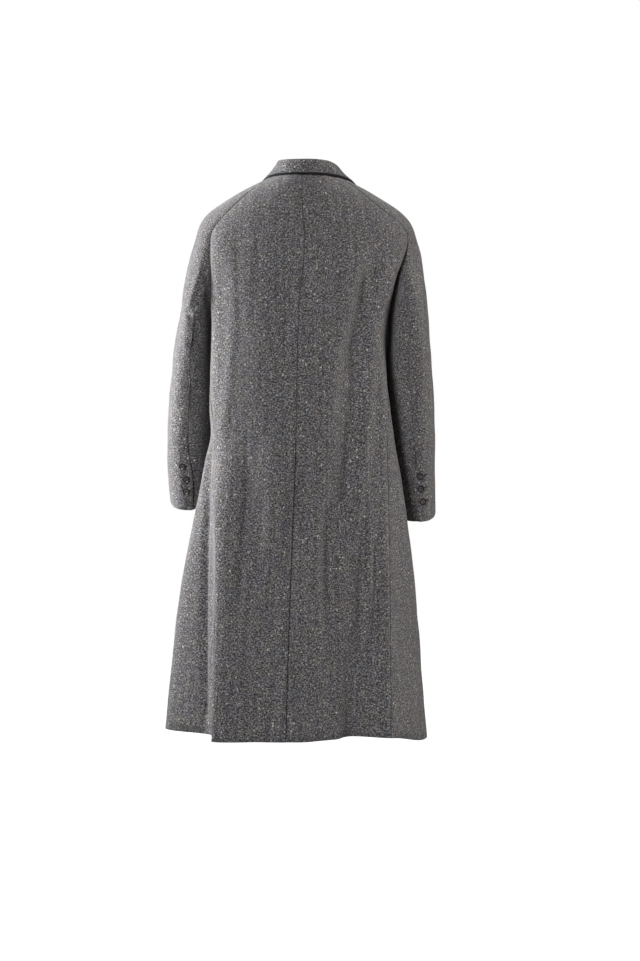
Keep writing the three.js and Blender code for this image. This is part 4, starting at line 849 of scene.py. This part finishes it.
def lie_of(name):
    """Where a CAD button lies: its middle, the way that it faces, and the piece below it."""
    points = np.array([v.co for v in nodes[name].data.vertices])
    middle = (points.max(0) + points.min(0)) / 2
    _, _, axes = np.linalg.svd(points - points.mean(0))
    facing = Vector(axes[2]).normalized()
    nearest = min(pieces, key=lambda other: trees[other].find_nearest(Vector(middle))[3])
    cloth_point = trees[nearest].find_nearest(Vector(middle))[0]
    if (Vector(middle) - cloth_point).dot(facing) < 0:
        facing = -facing
    return Vector(middle), facing, nearest


button_names = sorted(name for name in nodes if "button" in name)
button_lies = {name: lie_of(name) for name in button_names}
blanks = {kind: turned_button(f"{kind}_blank", **size) for kind, size in BUTTONS.items()}
for number, name in enumerate(button_names):
    middle, facing, nearest = button_lies[name]
    blank = blanks[name.split("_")[0]]
    button = blank.copy()
    button.data = blank.data.copy()
    button.name = f"{name}_turned"
    bpy.context.scene.collection.objects.link(button)
    spin = Matrix.Rotation(math.radians(SPIN_STEP * (number % 5)), 4, "Z")
    lie = facing.to_track_quat("Z", "Y").to_matrix().to_4x4()
    button.data.transform(Matrix.Translation(middle) @ lie @ spin)
    button.data.materials.clear()
    button.data.materials.append(horn_material)
    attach(button, "root")
    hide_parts(name)
    print(name, "lies on", nearest)
for blank in blanks.values():
    bpy.data.objects.remove(blank)

# %% [markdown]
# The sewing is thread that stands a little proud of the cloth. Every stitch is the same small
# spindle, so one is modelled and copied many times into one mesh: the purl round each buttonhole, the
# bars that hold the tops of the vents, and the thread through each button. A stitch is laid at a
# point of the cloth, along a way and square to the surface.

# %% Thread
thread = Finish("black_thread")
thread_place = thread.node("ShaderNodeTexCoord", {}, {}, "Object")
ply = thread.noise(thread_place, scale=1600.0, detail=2.0, roughness=0.5)
thread_shade = thread.mix(ply, (0.008, 0.008, 0.009), (0.030, 0.029, 0.031))
thread.shader.inputs["Specular IOR Level"].default_value = 0.3
thread_material = thread.finish(thread_shade, roughness=0.7, height=ply, strength=0.4, distance=0.0002)

deselect()
bpy.ops.mesh.primitive_uv_sphere_add(segments=6, ring_count=4, radius=0.5, location=(0, 0, 0))
spindle = bpy.context.active_object
select_faces(spindle, lambda face: abs(face.center.z) > 0.1)
bpy.ops.transform.resize(value=(0.92, 0.92, 1.0))
bpy.ops.object.mode_set(mode="OBJECT")
SPINDLE = coordinates(spindle.data)
SPINDLE_FACES = [tuple(face.vertices) for face in spindle.data.polygons]
bpy.data.objects.remove(spindle)
stitches = []


def stitch(place, way, facing, length, thick, flat=0.8):
    """One stitch, by its middle, the way it runs and the way it faces."""
    run = Vector(way).normalized()
    up = (Vector(facing) - run * run.dot(Vector(facing))).normalized()
    side = up.cross(run)
    frame_of = np.array([side * thick, up * thick * flat, run * length])
    stitches.append(SPINDLE @ frame_of + np.array(place))


cloth_trees = {name: tree_of(piece.data) for name, piece in pieces.items()}


def on_cloth(name, point):
    """The nearest point of a piece of cloth, and the way that the cloth faces there."""
    spot, facing, _, _ = cloth_trees[name].find_nearest(Vector(point))
    return spot, facing


# %% Buttonholes
PURL = {"every": 0.00075, "long": 0.0017, "thick": 0.00062, "from_slit": 0.0010, "proud": 0.0002}
SLIT = {"long": 0.0024, "thick": 0.0006, "proud": 0.0001, "flat": 0.4}
END_RAYS = [-75, -50, -25, 0, 25, 50, 75]
BUTTONHOLES = {"cuff": {"past": 0.002, "length": 0.0195}, "front": {"past": 0.003, "length": 0.027}}
SLOPES = {"cuff_button_left": 0.25, "cuff_button_right": 0.12, "front_button": 0}
LOWEST_LEFT_SLOPE = 0.75


def purl(spot, ray, facing):
    """A stitch that starts beside the slit and runs along a ray away from it."""
    place = spot + ray * PURL["from_slit"] + facing * PURL["proud"]
    stitch(place, ray, facing, PURL["long"], PURL["thick"])


def buttonhole(name, start, way, length):
    """A slit with purl stitches down both sides and round both ends."""
    _, facing = on_cloth(name, start)
    run = (way - facing * facing.dot(way)).normalized()
    count = int(length / PURL["every"])
    for k in range(count + 1):
        spot, facing = on_cloth(name, start + run * (k * PURL["every"]))
        side = facing.cross(run).normalized()
        for sign in (-1, 1):
            purl(spot, side * sign, facing)
        if k % 2 == 0:
            stitch(spot + facing * SLIT["proud"], run, facing, SLIT["long"], SLIT["thick"], SLIT["flat"])
    for end, sign in ((start, -1), (start + run * length, 1)):
        spot, facing = on_cloth(name, end)
        side = facing.cross(run).normalized()
        for degrees in END_RAYS:
            turn = math.radians(degrees)
            purl(spot, run * sign * math.cos(turn) + side * math.sin(turn), facing)


def way_across(name):
    """The way along a buttonhole, from its end below the button to its other end."""
    slope = LOWEST_LEFT_SLOPE if name == "cuff_button_left_3" else SLOPES[name[:-2]]
    return Vector((1 if "right" in name else -1, 0, slope)).normalized()


for name in button_names:
    middle, _, nearest = button_lies[name]
    hole = BUTTONHOLES[name.split("_")[0]]
    way = way_across(name)
    buttonhole(nearest, middle - way * hole["past"], way, hole["length"])

# %% [markdown]
# Two doubled strands cross each button from hole to hole, and a ring of upright stitches below it is
# the shank. Their places and widths are shares of the button's radius or thickness, and only the
# shank's length and its place below the button are in metres.

# %% Button threads
STRAND = {"above": 0.17, "apart": 0.71, "doubled": 0.028, "long": 2.3, "thick": 0.075, "flat": 1.2}
SHANK = {"stitches": 8, "from_middle": 0.16, "thick": 0.12, "long": 0.0016, "lower": 0.0003}

for name in button_names:
    middle, facing, _ = button_lies[name]
    radius, thick = BUTTONS[name.split("_")[0]].values()
    way = way_across(name)
    run = (way - facing * facing.dot(way)).normalized()
    side = facing.cross(run)
    dish = middle + facing * thick * STRAND["above"]
    spread = radius * HOLE_SPREAD
    for sign in (-1, 1):
        for strand in (-1, 1):
            spot = dish + side * (sign * spread * STRAND["apart"] + strand * radius * STRAND["doubled"])
            stitch(spot, run, facing, spread * STRAND["long"], radius * STRAND["thick"], STRAND["flat"])
    under = middle - facing * (thick / 2 + SHANK["lower"])
    for k in range(SHANK["stitches"]):
        turn = math.tau * k / SHANK["stitches"]
        ring = run * math.cos(turn) + side * math.sin(turn)
        place = under + ring * radius * SHANK["from_middle"]
        stitch(place, facing, ring, SHANK["long"], radius * SHANK["thick"])
print("stitches so far", len(stitches))

# %% Bars at the tops of the vents
BARS = [
    ("back_left", (-0.038, -0.25, -0.566), (-0.0085, -0.25, -0.566), 1.0),
    ("top_sleeve_right", (0.243, -0.2, -0.5815), (0.2595, -0.2, -0.5815), 0.9),
    ("under_sleeve_right", (0.2065, -0.2, -0.5825), (0.2225, -0.2, -0.5825), 0.7),
]
BAR_STITCH = {"every": 0.0023, "long": 0.0026, "thick": 0.0008, "proud": 0.0001, "flat": 0.6}


def hit_from_behind(name, point):
    """The point of the cloth that shows at this place from behind the coat."""
    spot, facing, _, _ = cloth_trees[name].ray_cast(Vector(point), Vector((0, 1, 0)))
    return spot, facing


for name, start, end, weight in BARS:
    way = Vector(end) - Vector(start)
    count = max(2, round(way.length / BAR_STITCH["every"]))
    thick = BAR_STITCH["thick"] * weight
    for k in range(count):
        spot, facing = hit_from_behind(name, Vector(start).lerp(Vector(end), (k + 0.5) / count))
        if spot is None:
            print("no cloth of", name, "behind stitch", k)
            continue
        place = spot + facing * BAR_STITCH["proud"]
        stitch(place, way, facing, BAR_STITCH["long"], thick, BAR_STITCH["flat"])

# %% One mesh of all the sewing
vertex_rows = np.concatenate(stitches)
face_rows = []
for number in range(len(stitches)):
    for face in SPINDLE_FACES:
        face_rows.append(tuple(k + number * len(SPINDLE) for k in face))
sewing_mesh = bpy.data.meshes.new("sewing")
sewing_mesh.from_pydata(vertex_rows.tolist(), [], face_rows)
sewing_mesh.update()
sewing = bpy.data.objects.new("sewing", sewing_mesh)
bpy.context.scene.collection.objects.link(sewing)
sewing.data.materials.append(thread_material)
only(sewing)
bpy.ops.object.shade_smooth()
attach(sewing, "root")
print("sewing has", len(stitches), "stitches and", len(face_rows), "faces")

# %% [markdown]
# The coat is one garment of cloth, and for each cut piece the size that it had on the cutting
# table is worked out.

for name, piece in pieces.items():
    width, length, area = cut_sizes[name]
    share = area / (width * length)
    flat_size = (round(width, 3), round(length, 3))
    flat_area = round(share * flat_size[0] * flat_size[1], 4)
